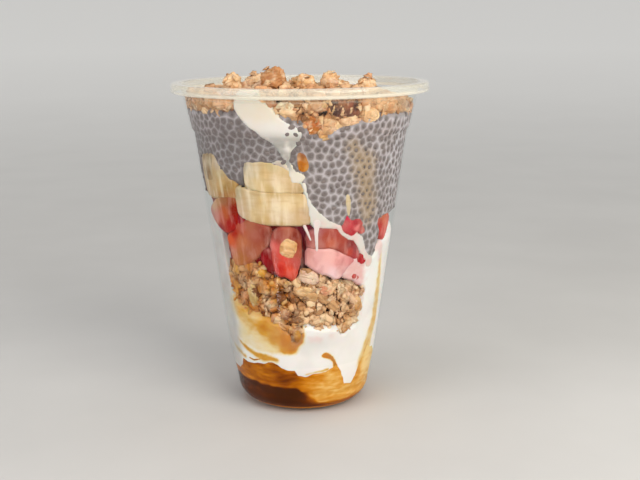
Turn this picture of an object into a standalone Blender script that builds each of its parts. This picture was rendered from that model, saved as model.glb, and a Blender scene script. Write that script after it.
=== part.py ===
"""A layered yogurt parfait in a clear cup: honey, yogurt, granola, strawberries, banana and chia pudding.

Everything is worked out in millimetres and turned to metres where an object is made.
The cup stands on Z = 0 with its axis on Z. A wall angle is counted in degrees from the
front (-Y) towards the right (+X).
"""

import math

import bmesh
import bpy
from mathutils import Matrix, Vector, noise

MM = 0.001

# Cup: a thin moulded skin with a rolled lip, a stacking ledge and a foot ring round a raised floor.
CUP_HEIGHT = 121.0
RIM_RADIUS = 47.5
SKIN = 0.6
LIP_HEIGHT = 3.7
BAND_TOP_RADIUS = 43.4
LEDGE_HEIGHT = 103.2
LEDGE_STEP = 0.9
LEDGE_RISE = 1.4
LEDGE_RADIUS = 39.75
LOWER_RING_HEIGHT = 18.0
LOWER_RING_RADIUS = 27.8
BASE_RADIUS = 25.6
BASE_CORNER = 7.5
FOOT_INNER_RADIUS = 14.5
FLOOR_RISE = 1.4
FLOOR_RADIUS = 12.0
CUP_SIDES = 32

# Contents
GAP = 0.36
LAYER_GAP = 0.6  # between one layer's top and the next one's underside, which both slope
FRONT_SPOKES, FRONT_HALF = 21, 85.0  # close together at the front, whose shape is known
BACK_SPOKES = 8
LOWER_TURN, LOWER_RINGS = 0.57, (14, 22, 29, 36)
GRANOLA_TURN, GRANOLA_RINGS = 0.43, (14, 22, 30, 36)
UPPER_TURN, UPPER_RINGS = 0.69, (13, 21, 31, 45)
HIDDEN_CORE_FOOT = 57.0
HEAP_CROWN = 6.0
FREE_TOP = 140.0
UNDER_ALL = -5.0

# Heights where each layer meets the wall, as (wall angle, height) round the cup.
HONEY_TOP = [(-180, 17), (-130, 15), (-95, 18), (-65, 17.5), (-36, 18.2), (-18, 19), (0, 16),
             (17, 17), (31, 13), (42, 10.5), (50, 16.5), (62, 21), (90, 16), (130, 14)]
YOGURT_TOP = [(-180, 45), (-150, 60), (-120, 66), (-90, 66), (-62, 68), (-53, 67), (-45, 42),
              (0, 38), (40, 40), (48, 58), (62, 63), (75, 64), (95, 66), (120, 60), (150, 46)]
GRANOLA_FLOOR = [(-180, 34), (-150, 37), (-100, 40), (-57, 42), (-44, 38.9), (-30, 36.8),
                 (-14, 34.9), (-4, 30), (5, 34.5), (25, 32), (37, 32.5), (48, 41), (100, 40),
                 (150, 38)]
GRANOLA_CREST = [(-180, 58), (-120, 56), (-50, 58), (-32, 60), (-17, 54.5), (-6, 53), (5, 56.5),
                 (18, 53), (33, 52), (45, 55), (90, 56), (140, 57)]
GRANOLA_REACH = [(-180, 36), (-160, 36), (-140, 26), (-60, 26), (-52, 29), (-45, 36), (40, 36),
                 (47, 29), (55, 26), (140, 26), (160, 36)]
CHIA_FOOT = [(-180, 77), (-150, 74), (-120, 79), (-95, 76), (-77, 83), (-60, 84), (-50, 88),
             (-36, 89), (-30, 93), (-5, 93), (1, 86), (8, 79), (16, 75), (30, 75), (38, 73),
             (43, 61), (48, 59), (54, 64), (58, 74), (70, 75), (95, 74), (120, 78), (150, 75)]
CHIA_TOP = [(-180, 106.5), (-150, 108), (-110, 108.5), (-74, 111.4), (-34, 111.6), (-7, 111),
            (0, 108.7), (5, 104.8), (12, 103.2), (18, 107), (31, 108.3), (40, 110), (70, 109),
            (110, 105.5), (145, 106)]
HEAP_EDGE = [(-180, 112), (-140, 115), (-100, 115), (-60, 116.5), (-20, 117), (20, 117),
             (45, 116.5), (65, 114.5), (90, 112), (120, 110.5), (150, 110.5)]

# The yogurt ribbon down the wall: (wall angle, height, half width) along its middle.
RIBBON = [(-24, 119.5, 4.2), (-23, 114, 6.0), (-17, 109, 6.6), (-10, 104.5, 5.8), (-6, 100.5, 4.2),
          (-4, 96.5, 2.2), (-3, 92.5, 2.0), (0, 88, 1.5), (4, 83, 1.0), (8, 78, 1.8), (13, 74.8, 2.2),
          (20, 72.4, 1.6), (28, 69.6, 1.3), (35, 66, 1.3), (40, 62.5, 1.2), (44.5, 58, 1.1)]
RIBBON_DEPTH = 2.6

# Strawberry wedges: name, wall angle, height, inset from the wall, length, radius, sweep of the
# wedge, twist of its skin away from the wall, roll in the plane of the wall, pitch.
STRAWBERRIES = [
    ("strawberry_centre", -17, 62.5, 2.5, 21, 8.2, 200, 20, -12, 8),
    ("strawberry_left", -60, 74.8, 2.0, 19, 9.5, 180, 50, 14, 0),
    ("strawberry_face_left", -40, 65.5, 1.8, 21, 10.5, 180, 180, 24, 6),
    ("strawberry_face_right", 19, 62.6, 1.6, 22, 11.0, 180, 176, 82, 14),
    ("strawberry_salmon", 21, 69.0, 3.6, 21, 8.0, 200, 160, 64, -20),
    ("strawberry_deep", 0, 64.5, 13.5, 19, 8.0, 220, 0, 10, 0),
    ("strawberry_right", 64, 67.5, 2.6, 19, 9.0, 200, 12, -16, 0),
    ("strawberry_rear_right", 97, 64.5, 2.4, 20, 10.0, 180, 170, 30, 0),
    ("strawberry_rear_1", 126, 68.5, 2.4, 21, 10.0, 200, 10, -24, 0),
    ("strawberry_rear_2", 157, 64.5, 2.2, 20, 10.5, 180, 175, 12, 0),
    ("strawberry_rear_3", -172, 68.0, 2.4, 20, 9.5, 200, -14, 20, 0),
    ("strawberry_rear_4", -142, 64.5, 2.2, 21, 10.0, 180, 182, -20, 0),
    ("strawberry_rear_5", -113, 69.5, 2.4, 19, 10.0, 200, 8, 10, 0),
    ("strawberry_rear_left", -85, 67.0, 2.2, 20, 9.8, 180, 186, -14, 0),
]
# Small torn bits of strawberry: name, wall angle, height, inset, half sizes along and up the wall.
STRAWBERRY_BITS = [
    ("strawberry_bit_upper", 32, 72.2, 1.4, 4.2, 3.4),
    ("strawberry_bit_lower", 41, 59.6, 1.0, 2.2, 1.8),
]

# Banana slices: name, wall angle, height, distance of the centre from the axis, radius,
# thickness, turn of the slice's axis: tilt from upright, then heading of that tilt.
BANANAS = [
    ("banana_lower", -16.5, 79.4, 22.6, 14.4, 10.6, 2, 60),
    ("banana_upper", -17.5, 90.3, 26.2, 12.6, 10.4, 3, -80),
    ("banana_left", -64, 90.5, 32.0, 11.6, 8.4, 80, -84),
    ("banana_right", 50, 86.5, 26.0, 12.8, 8.0, 84, 64),
    ("banana_rear_flat", 152, 83.5, 22.8, 14.6, 10.0, 4, 30),
    ("banana_rear_edge", -118, 90.5, 26.8, 13.2, 8.4, 82, -60),
]

# Granola clusters as large as berries: name, wall angle, height, distance from the axis,
# half sizes (along the wall, through it, upwards), roughness, seed.
CLUSTERS = [
    ("cluster_peak", -28, 121.8, 20.0, 4.9, 4.4, 4.4, 0.24, 3),
    ("cluster_left", -58, 120.8, 28.0, 3.9, 3.8, 4.4, 0.22, 11),
    ("cluster_right", 36, 121.2, 18.0, 3.9, 3.6, 4.2, 0.22, 17),
    ("cluster_far_right", 60, 118.6, 27.0, 4.2, 3.8, 3.9, 0.22, 23),
    ("cluster_middle", 5, 120.8, 15.0, 4.6, 4.0, 3.6, 0.24, 29),
    ("cluster_rear_left", -130, 119.6, 22.0, 4.6, 4.2, 3.9, 0.24, 31),
    ("cluster_rear_right", 140, 115.6, 24.0, 4.4, 4.2, 3.8, 0.24, 37),
    ("cluster_pale", -6.5, 113.6, 37.6, 5.4, 4.2, 3.3, 0.14, 41),
    ("date_piece", 22, 113.6, 37.6, 6.0, 4.4, 3.6, 0.12, 47),
    ("almond_piece", 4, 107.6, 36.8, 3.8, 3.4, 3.6, 0.10, 53),
    ("cluster_light", 13.5, 106.4, 36.6, 3.9, 3.4, 3.4, 0.20, 59),
    ("cluster_golden", 37, 111.8, 38.2, 4.8, 3.6, 3.2, 0.12, 61),
]
HONEYED_NUT = ("honeyed_nut", 1, 95.8, 37.4, 2.1, 2.0, 3.0, 0.08, 67)

# Finish of each material: colour, roughness, how much light passes through.
FINISHES = {
    "clear_plastic": ((0.93, 0.95, 0.95), 0.08, 1.0),
    "honey": ((0.62, 0.27, 0.03), 0.12, 0.3),
    "yogurt": ((0.88, 0.86, 0.82), 0.35, 0.0),
    "granola": ((0.64, 0.42, 0.21), 0.75, 0.0),
    "strawberry": ((0.76, 0.12, 0.07), 0.35, 0.0),
    "banana": ((0.86, 0.72, 0.45), 0.45, 0.0),
    "chia_pudding": ((0.47, 0.44, 0.45), 0.35, 0.0),
    "date": ((0.24, 0.09, 0.05), 0.4, 0.0),
    "nut": ((0.72, 0.38, 0.12), 0.4, 0.0),
}


# Small mathematics ---------------------------------------------------------------------------

def eased(t):
    """A smooth step from 0 to 1."""
    t = min(1.0, max(0.0, t))
    return t * t * (3 - 2 * t)


def round_the_wall(points, angle):
    """The value of a closed run of (wall angle, value) points at an angle, smoothly joined."""
    angle = (angle + 180) % 360 - 180
    closed = points + [(points[0][0] + 360, points[0][1])]
    for (a0, v0), (a1, v1) in zip(closed, closed[1:]):
        if a0 <= angle <= a1:
            return v0 + (v1 - v0) * eased((angle - a0) / (a1 - a0))
    return points[-1][1]


def along(points, t):
    """A point at t, from 0 to 1, of a smooth curve through equally weighted points."""
    place = t * (len(points) - 1)
    i = min(int(place), len(points) - 2)
    u = place - i
    p0, p1 = points[max(i - 1, 0)], points[i]
    p2, p3 = points[i + 1], points[min(i + 2, len(points) - 1)]
    return tuple(
        0.5 * (2 * b + (c - a) * u + (2 * a - 5 * b + 4 * c - d) * u * u
               + (3 * b - a - 3 * c + d) * u ** 3)
        for a, b, c, d in zip(p0, p1, p2, p3)
    )


def at_wall(angle, radius, height):
    """The point at a wall angle, a distance from the cup's axis and a height."""
    a = math.radians(angle)
    return Vector((radius * math.sin(a), -radius * math.cos(a), height))


def inner_radius(height):
    """Radius of the cup's inner face at a height."""
    stations = [
        (BASE_CORNER, BASE_RADIUS),
        (LOWER_RING_HEIGHT, LOWER_RING_RADIUS),
        (LEDGE_HEIGHT, LEDGE_RADIUS),
        (LEDGE_HEIGHT + LEDGE_RISE, LEDGE_RADIUS + LEDGE_STEP),
        (CUP_HEIGHT - LIP_HEIGHT, BAND_TOP_RADIUS),
    ]
    for (h0, r0), (h1, r1) in zip(stations, stations[1:]):
        if height <= h1:
            return r0 + (r1 - r0) * (height - h0) / (h1 - h0) - SKIN
    return BAND_TOP_RADIUS - SKIN


# Mesh tools ----------------------------------------------------------------------------------

def mesh_object(name, points, faces):
    """An object from points in millimetres, with every face pointing outwards."""
    mesh = bpy.data.meshes.new(name)
    mesh.from_pydata([Vector(p) * MM for p in points], [], faces)
    tidy = bmesh.new()
    tidy.from_mesh(mesh)
    bmesh.ops.recalc_face_normals(tidy, faces=tidy.faces)
    tidy.to_mesh(mesh)
    tidy.free()
    thing = bpy.data.objects.new(name, mesh)
    bpy.context.scene.collection.objects.link(thing)
    return thing


def grown(thing, by):
    """Moves an object's faces outwards by a distance in millimetres."""
    work = bmesh.new()
    work.from_mesh(thing.data)
    work.normal_update()
    moves = [(v, v.normal * min(v.calc_shell_factor(), 1.8)) for v in work.verts]
    for vert, direction in moves:
        vert.co += direction * by * MM
    work.to_mesh(thing.data)
    work.free()
    return thing


def volume(mesh):
    """A closed mesh's volume in cubic millimetres, or nothing for one that isn't closed."""
    work = bmesh.new()
    work.from_mesh(mesh)
    closed = all(len(edge.link_faces) == 2 for edge in work.edges)
    amount = work.calc_volume() / MM ** 3
    work.free()
    return amount if closed else None


def combine(thing, other, operation):
    """Cuts, joins or trims an object by another with a Boolean, and deletes the other.

    Where the exact cut leaves the body open, or loses more of it than the cutter's volume, the
    cut is made again by the other solver, which only takes closed meshes.
    """
    modifier = thing.modifiers.new("combine", "BOOLEAN")
    modifier.operation = operation
    modifier.object = other
    least = volume(thing.data) - volume(other.data) if operation == "DIFFERENCE" else 1.0
    for solver in ("EXACT", "MANIFOLD"):
        modifier.solver = solver
        graph = bpy.context.evaluated_depsgraph_get()
        result = bpy.data.meshes.new_from_object(thing.evaluated_get(graph))
        left = volume(result)
        if left is not None and left > least - 1.0:
            break
    else:
        raise RuntimeError(f"{operation} of {thing.name} by {other.name} failed")
    thing.modifiers.clear()
    thing.data = result
    bpy.data.objects.remove(other)


def largest_body(thing):
    """Deletes the crumbs that cutting leaves beside an object's main body."""
    work = bmesh.new()
    work.from_mesh(thing.data)
    unseen = set(work.verts)
    bodies = []
    while unseen:
        queue = [unseen.pop()]
        body = set(queue)
        while queue:
            for edge in queue.pop().link_edges:
                for vert in edge.verts:
                    if vert in unseen:
                        unseen.discard(vert)
                        body.add(vert)
                        queue.append(vert)
        bodies.append(body)
    bodies.sort(key=len)
    crumbs = [vert for body in bodies[:-1] for vert in body]
    bmesh.ops.delete(work, geom=crumbs, context="VERTS")
    work.to_mesh(thing.data)
    work.free()


def simplified(thing, flat, weld=0.02, rounds=12):
    """Flattens what cutting leaves too fine, except where that would fold the surface."""
    folds = []
    for _ in range(rounds):
        work = bmesh.new()
        work.from_mesh(thing.data)
        bmesh.ops.dissolve_degenerate(work, edges=work.edges, dist=weld * MM)
        free = [v for v in work.verts if all((v.co - fold).length > 2 * MM for fold in folds)]
        ends = set(free)
        edges = [e for e in work.edges if e.verts[0] in ends and e.verts[1] in ends]
        bmesh.ops.dissolve_limit(
            work, angle_limit=math.radians(flat), verts=free, edges=edges
        )
        bmesh.ops.triangulate(work, faces=work.faces)
        new_folds = [
            (e.verts[0].co + e.verts[1].co) / 2 for e in work.edges if len(e.link_faces) != 2
        ]
        if not new_folds:
            work.to_mesh(thing.data)
        work.free()
        if not new_folds:
            return
        folds += new_folds


def near(thing, other, margin=1.0 * MM):
    """Whether two objects' boxes come within a margin of each other."""
    def corners(o):
        xs = [v.co for v in o.data.vertices]
        return [(min(c[i] for c in xs), max(c[i] for c in xs)) for i in range(3)]
    return all(
        low_a - margin < high_b and low_b - margin < high_a
        for (low_a, high_a), (low_b, high_b) in zip(corners(thing), corners(other))
    )


def lathe(name, section, sides):
    """Turns a section of (radius, height) points round Z. Its two ends lie on the axis."""
    points, rows, faces = [], [], []
    for radius, height in section:
        if radius < 1e-6:
            rows.append([len(points)] * sides)
            points.append((0.0, 0.0, height))
            continue
        rows.append(list(range(len(points), len(points) + sides)))
        points += [at_wall(360 * k / sides, radius, height) for k in range(sides)]
    for low, high in zip(rows, rows[1:]):
        for k in range(sides):
            corners = [low[k], low[(k + 1) % sides], high[(k + 1) % sides], high[k]]
            faces.append(list(dict.fromkeys(corners)))
    return mesh_object(name, points, faces)


def polar_slab(name, turn, radii, lower, upper, reach=None):
    """A closed slab between two height functions of (radius, wall angle), out to a reach.

    Each slab's spokes are turned a little from its neighbours', so no two edges meet in a line.
    """
    points, faces, sheets = [], [], []
    fine = 2 * FRONT_HALF / (FRONT_SPOKES - 1)
    coarse = (360 - 2 * FRONT_HALF) / (BACK_SPOKES + 1)
    angles = [fine * (k + turn) - FRONT_HALF for k in range(FRONT_SPOKES)]
    angles += [FRONT_HALF + fine * turn + coarse * (k + 1) for k in range(BACK_SPOKES)]
    count = len(angles)
    for surface in (lower, upper):
        middle = len(points)
        points.append((0.0, 0.0, surface(0.0, 0.0)))
        rings = []
        for radius in radii:
            ring = []
            for angle in angles:
                shown = min(radius, reach(angle) * radius / radii[-1] if reach else radius)
                ring.append(len(points))
                points.append(at_wall(angle, shown, surface(shown, angle)))
            rings.append(ring)
        sheets.append((middle, rings))
    for middle, rings in sheets:
        for k in range(count):
            step = (k + 1) % count
            faces.append([middle, rings[0][k], rings[0][step]])
            for inner, outer in zip(rings, rings[1:]):
                faces.append([inner[k], inner[step], outer[step], outer[k]])
    rim_low, rim_high = sheets[0][1][-1], sheets[1][1][-1]
    for k in range(count):
        step = (k + 1) % count
        faces.append([rim_low[k], rim_low[step], rim_high[step], rim_high[k]])
    return mesh_object(name, points, faces)


# The cup -------------------------------------------------------------------------------------

def cup_line():
    """The middle of the cup's skin in section, from the floor's centre up to the rolled lip."""
    half = SKIN / 2
    line = [(0.0, FLOOR_RISE + half), (FLOOR_RADIUS, FLOOR_RISE + half),
            (FOOT_INNER_RADIUS, half)]
    centre = BASE_RADIUS - BASE_CORNER
    for step in range(4):
        turn = math.radians(-90 + 78 * step / 3)
        reach = BASE_CORNER - half
        line.append((centre + reach * math.cos(turn), BASE_CORNER + reach * math.sin(turn)))
    line += [
        (LOWER_RING_RADIUS - half, LOWER_RING_HEIGHT),
        (LEDGE_RADIUS - half, LEDGE_HEIGHT),
        (LEDGE_RADIUS + LEDGE_STEP - half, LEDGE_HEIGHT + LEDGE_RISE),
        (BAND_TOP_RADIUS - half, CUP_HEIGHT - LIP_HEIGHT),
    ]
    lip_middle = (BAND_TOP_RADIUS + RIM_RADIUS) / 2
    lip_width = (RIM_RADIUS - BAND_TOP_RADIUS) / 2
    tall = LIP_HEIGHT / 2 - half
    for step in range(6):
        turn = math.radians(165 - 250 * step / 5)
        line.append((lip_middle + lip_width * math.cos(turn) - half * math.cos(turn),
                     CUP_HEIGHT - half - tall + tall * math.sin(turn)))
    return line


def thickened(line, thickness):
    """The closed outline of a line's two sides, from its first point on the axis and back."""
    sides = ([], [])
    for i, point in enumerate(line):
        before = Vector(point) - Vector(line[i - 1]) if i else Vector((1, 0))
        after = Vector(line[i + 1]) - Vector(point) if i + 1 < len(line) else before
        before, after = before.normalized(), after.normalized()
        middle = (before + after).normalized()
        normal = Vector((-middle.y, middle.x))
        stretch = thickness / 2 / max(0.6, middle.dot(after))
        for side, sign in zip(sides, (1, -1)):
            moved = Vector(point) + normal * stretch * sign
            side.append((max(moved.x, 0.0) if i else 0.0, moved.y))
    return sides[0] + sides[1][::-1]


def make_cup():
    return lathe("cup", thickened(cup_line(), SKIN), CUP_SIDES)


def room():
    """The space inside the cup, short of its inner face by the gap, open to the air above."""
    inset = SKIN + GAP
    corner = BASE_RADIUS - BASE_CORNER
    section = [(0.0, FLOOR_RISE + inset), (FLOOR_RADIUS, FLOOR_RISE + inset),
               (FOOT_INNER_RADIUS + 0.2, inset)]
    for step in range(4):
        turn = math.radians(-90 + 78 * step / 3)
        reach = BASE_CORNER - inset
        section.append((corner + reach * math.cos(turn), BASE_CORNER + reach * math.sin(turn)))
    section += [
        (LOWER_RING_RADIUS - inset, LOWER_RING_HEIGHT),
        (LEDGE_RADIUS - inset, LEDGE_HEIGHT),
        (LEDGE_RADIUS + LEDGE_STEP - inset, LEDGE_HEIGHT + LEDGE_RISE),
        (BAND_TOP_RADIUS - inset, CUP_HEIGHT - LIP_HEIGHT),
        (BAND_TOP_RADIUS - inset, FREE_TOP),
        (0.0, FREE_TOP),
    ]
    return lathe("room", section, CUP_SIDES)


# Pieces of fruit and granola -----------------------------------------------------------------

def placed(thing, angle, height, radius, turns):
    """Turns an object by (degrees, axis) steps, then sets it at its place by the wall."""
    matrix = Matrix.Translation(at_wall(angle, radius, height) * MM)
    matrix @= Matrix.Rotation(math.radians(angle), 4, "Z")
    for degrees, axis in turns:
        matrix @= Matrix.Rotation(math.radians(degrees), 4, axis)
    thing.data.transform(matrix)
    return thing


def strawberry_wedge(name, angle, height, inset, length, radius, sweep, twist, roll, pitch):
    """Part of a strawberry cut from leaf end to tip: skin on its round side, flesh on its cuts."""
    stations, steps = 5, 5
    points, rows, faces = [], [], []
    for i in range(stations + 1):
        t = i / stations
        wide = radius * math.sin(math.pi * min(t * 0.9 + 0.1, 1.0)) ** 0.75 * (1.12 - 0.3 * t)
        down = length * (0.5 - t)
        if i == stations:
            rows.append([len(points)] * (steps + 2))
            points.append((0.0, 0.0, down))
            continue
        row = [len(points)]
        points.append((0.0, 0.0, down))
        for j in range(steps + 1):
            turn = math.radians(sweep * (j / steps - 0.5))
            row.append(len(points))
            points.append((wide * math.sin(turn), -wide * math.cos(turn), down))
        rows.append(row)
    for low, high in zip(rows, rows[1:]):
        for j in range(steps + 2):
            k = (j + 1) % (steps + 2)
            faces.append(list(dict.fromkeys([low[j], low[k], high[k], high[j]])))
    faces.append(rows[0])
    thing = mesh_object(name, points, faces)
    facing = radius * 0.75 if abs(twist) < 90 else 0.0
    distance = inner_radius(height) - GAP - inset - facing
    return placed(thing, angle, height, distance, [(roll, "Y"), (pitch, "X"), (twist, "Z")])


def banana_slice(name, angle, height, distance, radius, thickness, tilt, heading):
    """A peeled slice: a disc with five faint sides and softened edges."""
    sides, edge = 15, 0.7
    section = [(radius - edge, -0.5), (radius, -0.5), (radius, 0.5), (radius - edge, 0.5)]
    points = [(0.0, 0.0, -thickness / 2)]
    rows, faces = [], []
    for i, (reach, side) in enumerate(section):
        lift = side * (thickness - (2 * edge if i in (1, 2) else 0.0))
        rows.append(list(range(len(points), len(points) + sides)))
        for k in range(sides):
            five = 1 + 0.022 * math.cos(5 * 2 * math.pi * k / sides)
            points.append(at_wall(360 * k / sides, reach * five, lift))
    top = len(points)
    points.append((0.0, 0.0, thickness / 2))
    for k in range(sides):
        step = (k + 1) % sides
        faces.append([0, rows[0][k], rows[0][step]])
        faces.append([top, rows[-1][k], rows[-1][step]])
        for low, high in zip(rows, rows[1:]):
            faces.append([low[k], low[step], high[step], high[k]])
    thing = mesh_object(name, points, faces)
    return placed(thing, angle, height, distance, [(heading, "Z"), (tilt, "X")])


def lump(name, angle, height, distance, across, through, up, roughness, seed):
    """An uneven lump, such as a granola cluster, a nut or a torn bit of fruit."""
    work = bmesh.new()
    bmesh.ops.create_icosphere(work, subdivisions=2, radius=1.0)
    for vert in work.verts:
        bump = noise.noise(vert.co * 1.7 + Vector((seed, 0.5 * seed, 2.0 * seed)))
        vert.co *= 1 + roughness * 1.6 * bump
        vert.co = Vector((vert.co.x * across, vert.co.y * through, vert.co.z * up)) * MM
    mesh = bpy.data.meshes.new(name)
    work.to_mesh(mesh)
    work.free()
    thing = bpy.data.objects.new(name, mesh)
    bpy.context.scene.collection.objects.link(thing)
    return placed(thing, angle, height, distance, [])


def strawberry_bit(name, angle, height, inset, across, up):
    distance = inner_radius(height) - inset
    return lump(name, angle, height, distance, across, 2.2, up, 0.22, int(angle))


def yogurt_ribbon():
    """A smear of yogurt that runs down the wall beside the banana to the yogurt below."""
    count, across = 20, (-1.0, 0.0, 1.0)
    points, rows, faces = [], [], []
    for i in range(count + 1):
        angle, height, half = along(RIBBON, i / count)
        a_next, h_next, _ = along(RIBBON, min(i / count + 0.01, 1.0))
        a_last, h_last, _ = along(RIBBON, max(i / count - 0.01, 0.0))
        per_degree = math.radians(1) * inner_radius(height)
        run = Vector(((a_next - a_last) * per_degree, h_next - h_last)).normalized()
        row = []
        for depth in (-1.0, RIBBON_DEPTH):
            line = across if depth < 0 else across[::-1]
            for share in line:
                a = angle + share * half * -run.y / per_degree
                h = height + share * half * run.x
                row.append(len(points))
                points.append(at_wall(a, inner_radius(h) - depth, h))
        rows.append(row)
    for low, high in zip(rows, rows[1:]):
        for j in range(len(low)):
            k = (j + 1) % len(low)
            faces.append([low[j], low[k], high[k], high[j]])
    faces += [rows[0], rows[-1]]
    return mesh_object("yogurt_ribbon", points, faces)


# Layers --------------------------------------------------------------------------------------

def wall_share(radius, height):
    return radius / inner_radius(height)


def honey_top(radius, angle):
    level = round_the_wall(HONEY_TOP, angle)
    return 15.0 + (level - 15.0) * eased(wall_share(radius, level) * 1.4 - 0.4)


def granola_floor(radius, angle):
    level = round_the_wall(GRANOLA_FLOOR, angle)
    return 34.0 + (level - 34.0) * eased(wall_share(radius, level) * 1.6 - 0.6)


def granola_crest(radius, angle):
    level = round_the_wall(GRANOLA_CREST, angle)
    return 56.0 + (level - 56.0) * eased(wall_share(radius, level) * 2 - 1)


def yogurt_top(radius, angle):
    level = round_the_wall(YOGURT_TOP, angle)
    return 36.0 + (level - 36.0) * eased((wall_share(radius, level) - 0.66) * 4.5)


def chia_foot(radius, angle):
    level = round_the_wall(CHIA_FOOT, angle)
    share = eased((wall_share(radius, level) - 0.42) * 5)
    return HIDDEN_CORE_FOOT + (level - HIDDEN_CORE_FOOT) * share


def chia_top(radius, angle):
    level = round_the_wall(CHIA_TOP, angle)
    return 107.5 + (level - 107.5) * eased(wall_share(radius, level) * 2.4 - 1.4)


def heap_top(radius, angle):
    """The uneven top of the granola: a low dome whose lumps stand out like clusters."""
    edge = round_the_wall(HEAP_EDGE, angle)
    share = min(1.0, radius / inner_radius(edge))
    spot = at_wall(angle, radius, 0.0) / 8.0
    lumps = 2.2 * noise.noise(spot + Vector((3.1, 7.7, 0.4))) * (1 - 0.5 * share)
    return edge + HEAP_CROWN * (0.55 - 0.25 * share) * (1 - share ** 3) + lumps


def honey_slab():
    return polar_slab("honey", LOWER_TURN, LOWER_RINGS, lambda r, a: UNDER_ALL, honey_top)


def granola_slab():
    return polar_slab(
        "granola_lower", GRANOLA_TURN, GRANOLA_RINGS, granola_floor, granola_crest,
        lambda a: round_the_wall(GRANOLA_REACH, a),
    )


def yogurt_slab():
    return polar_slab("yogurt", LOWER_TURN, LOWER_RINGS,
                      lambda r, a: honey_top(r, a) + LAYER_GAP, yogurt_top)


def chia_slab():
    return polar_slab("chia_pudding", UPPER_TURN, UPPER_RINGS, chia_foot, chia_top)


def heap_slab():
    return polar_slab("granola_top", UPPER_TURN, UPPER_RINGS,
                      lambda r, a: chia_top(r, a) + LAYER_GAP, heap_top)


# Assembly ------------------------------------------------------------------------------------

def painted(thing, finish):
    """Gives an object its finish."""
    material = bpy.data.materials.get(finish)
    if material is None:
        colour, roughness, through = FINISHES[finish]
        material = bpy.data.materials.new(finish)
        material.use_nodes = True
        shader = material.node_tree.nodes["Principled BSDF"]
        shader.inputs["Base Color"].default_value = (*colour, 1.0)
        shader.inputs["Roughness"].default_value = roughness
        shader.inputs["Transmission Weight"].default_value = through
    thing.data.materials.clear()
    thing.data.materials.append(material)


def firm_pieces():
    """Every piece with a shape of its own, firmest first: (maker of its raw shape, finish)."""
    makers = []
    for row in BANANAS:
        makers.append((lambda row=row: banana_slice(*row), "banana"))
    for row in STRAWBERRIES:
        makers.append((lambda row=row: strawberry_wedge(*row), "strawberry"))
    for row in STRAWBERRY_BITS:
        makers.append((lambda row=row: strawberry_bit(*row), "strawberry"))
    for row in CLUSTERS:
        finish = {"date_piece": "date", "almond_piece": "nut"}.get(row[0], "granola")
        makers.append((lambda row=row: lump(*row), finish))
    makers.append((lambda: lump(*HONEYED_NUT), "nut"))
    return makers


def carve(thing, makers):
    """Cuts the room for each made shape, grown by the gap, out of an object."""
    for maker in makers:
        cutter = grown(maker(), GAP)
        if near(thing, cutter):
            combine(thing, cutter, "DIFFERENCE")
            simplified(thing, 1.0)
        else:
            bpy.data.objects.remove(cutter)


def make_parfait():
    painted(make_cup(), "clear_plastic")
    done = []
    for maker, finish in firm_pieces():
        piece = maker()
        carve(piece, done)
        combine(piece, room(), "INTERSECT")
        done.append(maker)
        largest_body(piece)
        simplified(piece, 2.0)
        painted(piece, finish)
    layers = [
        (honey_slab, "honey", []),
        (granola_slab, "granola", done),
        (yogurt_slab, "yogurt", [granola_slab] + done),
        (yogurt_ribbon, "yogurt", done + [granola_slab, yogurt_slab]),
        (chia_slab, "chia_pudding", [yogurt_ribbon, granola_slab, yogurt_slab] + done),
        (heap_slab, "granola", [yogurt_ribbon] + done),
    ]
    for maker, finish, cutters in layers:
        layer = maker()
        combine(layer, room(), "INTERSECT")
        carve(layer, cutters)
        largest_body(layer)
        simplified(layer, 1.4)
        painted(layer, finish)


for old in list(bpy.data.objects):
    bpy.data.objects.remove(old)
make_parfait()
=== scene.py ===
# %% [markdown]
# # A layered yogurt parfait in a clear cup
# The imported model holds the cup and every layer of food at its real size. This lesson dresses it:
# each plain solid is replaced by a finer piece of the same size in the same place, and gets a
# material that starts from what the real food or plastic is. We load the frame first, because
# every place and size below is measured from it.

# %% Load the frame
import math

import bmesh
import bpy
import numpy as np
from mathutils import Euler, Matrix, Vector, noise
from mathutils.kdtree import KDTree


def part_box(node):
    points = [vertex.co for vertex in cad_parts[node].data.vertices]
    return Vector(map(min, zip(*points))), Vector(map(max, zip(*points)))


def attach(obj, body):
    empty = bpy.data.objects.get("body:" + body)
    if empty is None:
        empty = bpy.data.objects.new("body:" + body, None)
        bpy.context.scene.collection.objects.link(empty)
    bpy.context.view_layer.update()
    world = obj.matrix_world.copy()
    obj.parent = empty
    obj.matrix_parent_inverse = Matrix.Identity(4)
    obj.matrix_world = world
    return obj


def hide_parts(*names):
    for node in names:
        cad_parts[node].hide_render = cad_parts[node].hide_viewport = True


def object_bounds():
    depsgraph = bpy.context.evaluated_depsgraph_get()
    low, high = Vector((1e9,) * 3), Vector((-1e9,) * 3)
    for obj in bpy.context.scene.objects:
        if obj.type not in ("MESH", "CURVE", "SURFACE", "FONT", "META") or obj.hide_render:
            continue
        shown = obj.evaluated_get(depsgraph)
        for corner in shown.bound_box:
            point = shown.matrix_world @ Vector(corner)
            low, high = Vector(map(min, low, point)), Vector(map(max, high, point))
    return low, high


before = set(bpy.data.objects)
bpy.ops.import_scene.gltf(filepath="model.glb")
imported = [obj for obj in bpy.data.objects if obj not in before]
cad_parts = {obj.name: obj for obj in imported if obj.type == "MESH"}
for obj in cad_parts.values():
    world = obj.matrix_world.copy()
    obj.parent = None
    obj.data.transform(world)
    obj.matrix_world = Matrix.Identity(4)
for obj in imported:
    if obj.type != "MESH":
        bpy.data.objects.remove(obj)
cad_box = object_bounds()
MM = 0.001
cup_low, cup_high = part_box("cup")
RIM_RADIUS = (cup_high[0] - cup_low[0]) / 2 / MM
CUP_HEIGHT = cup_high[2] / MM
print(f"cup: {2 * RIM_RADIUS:.1f} mm across, {CUP_HEIGHT:.1f} mm high")

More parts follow.
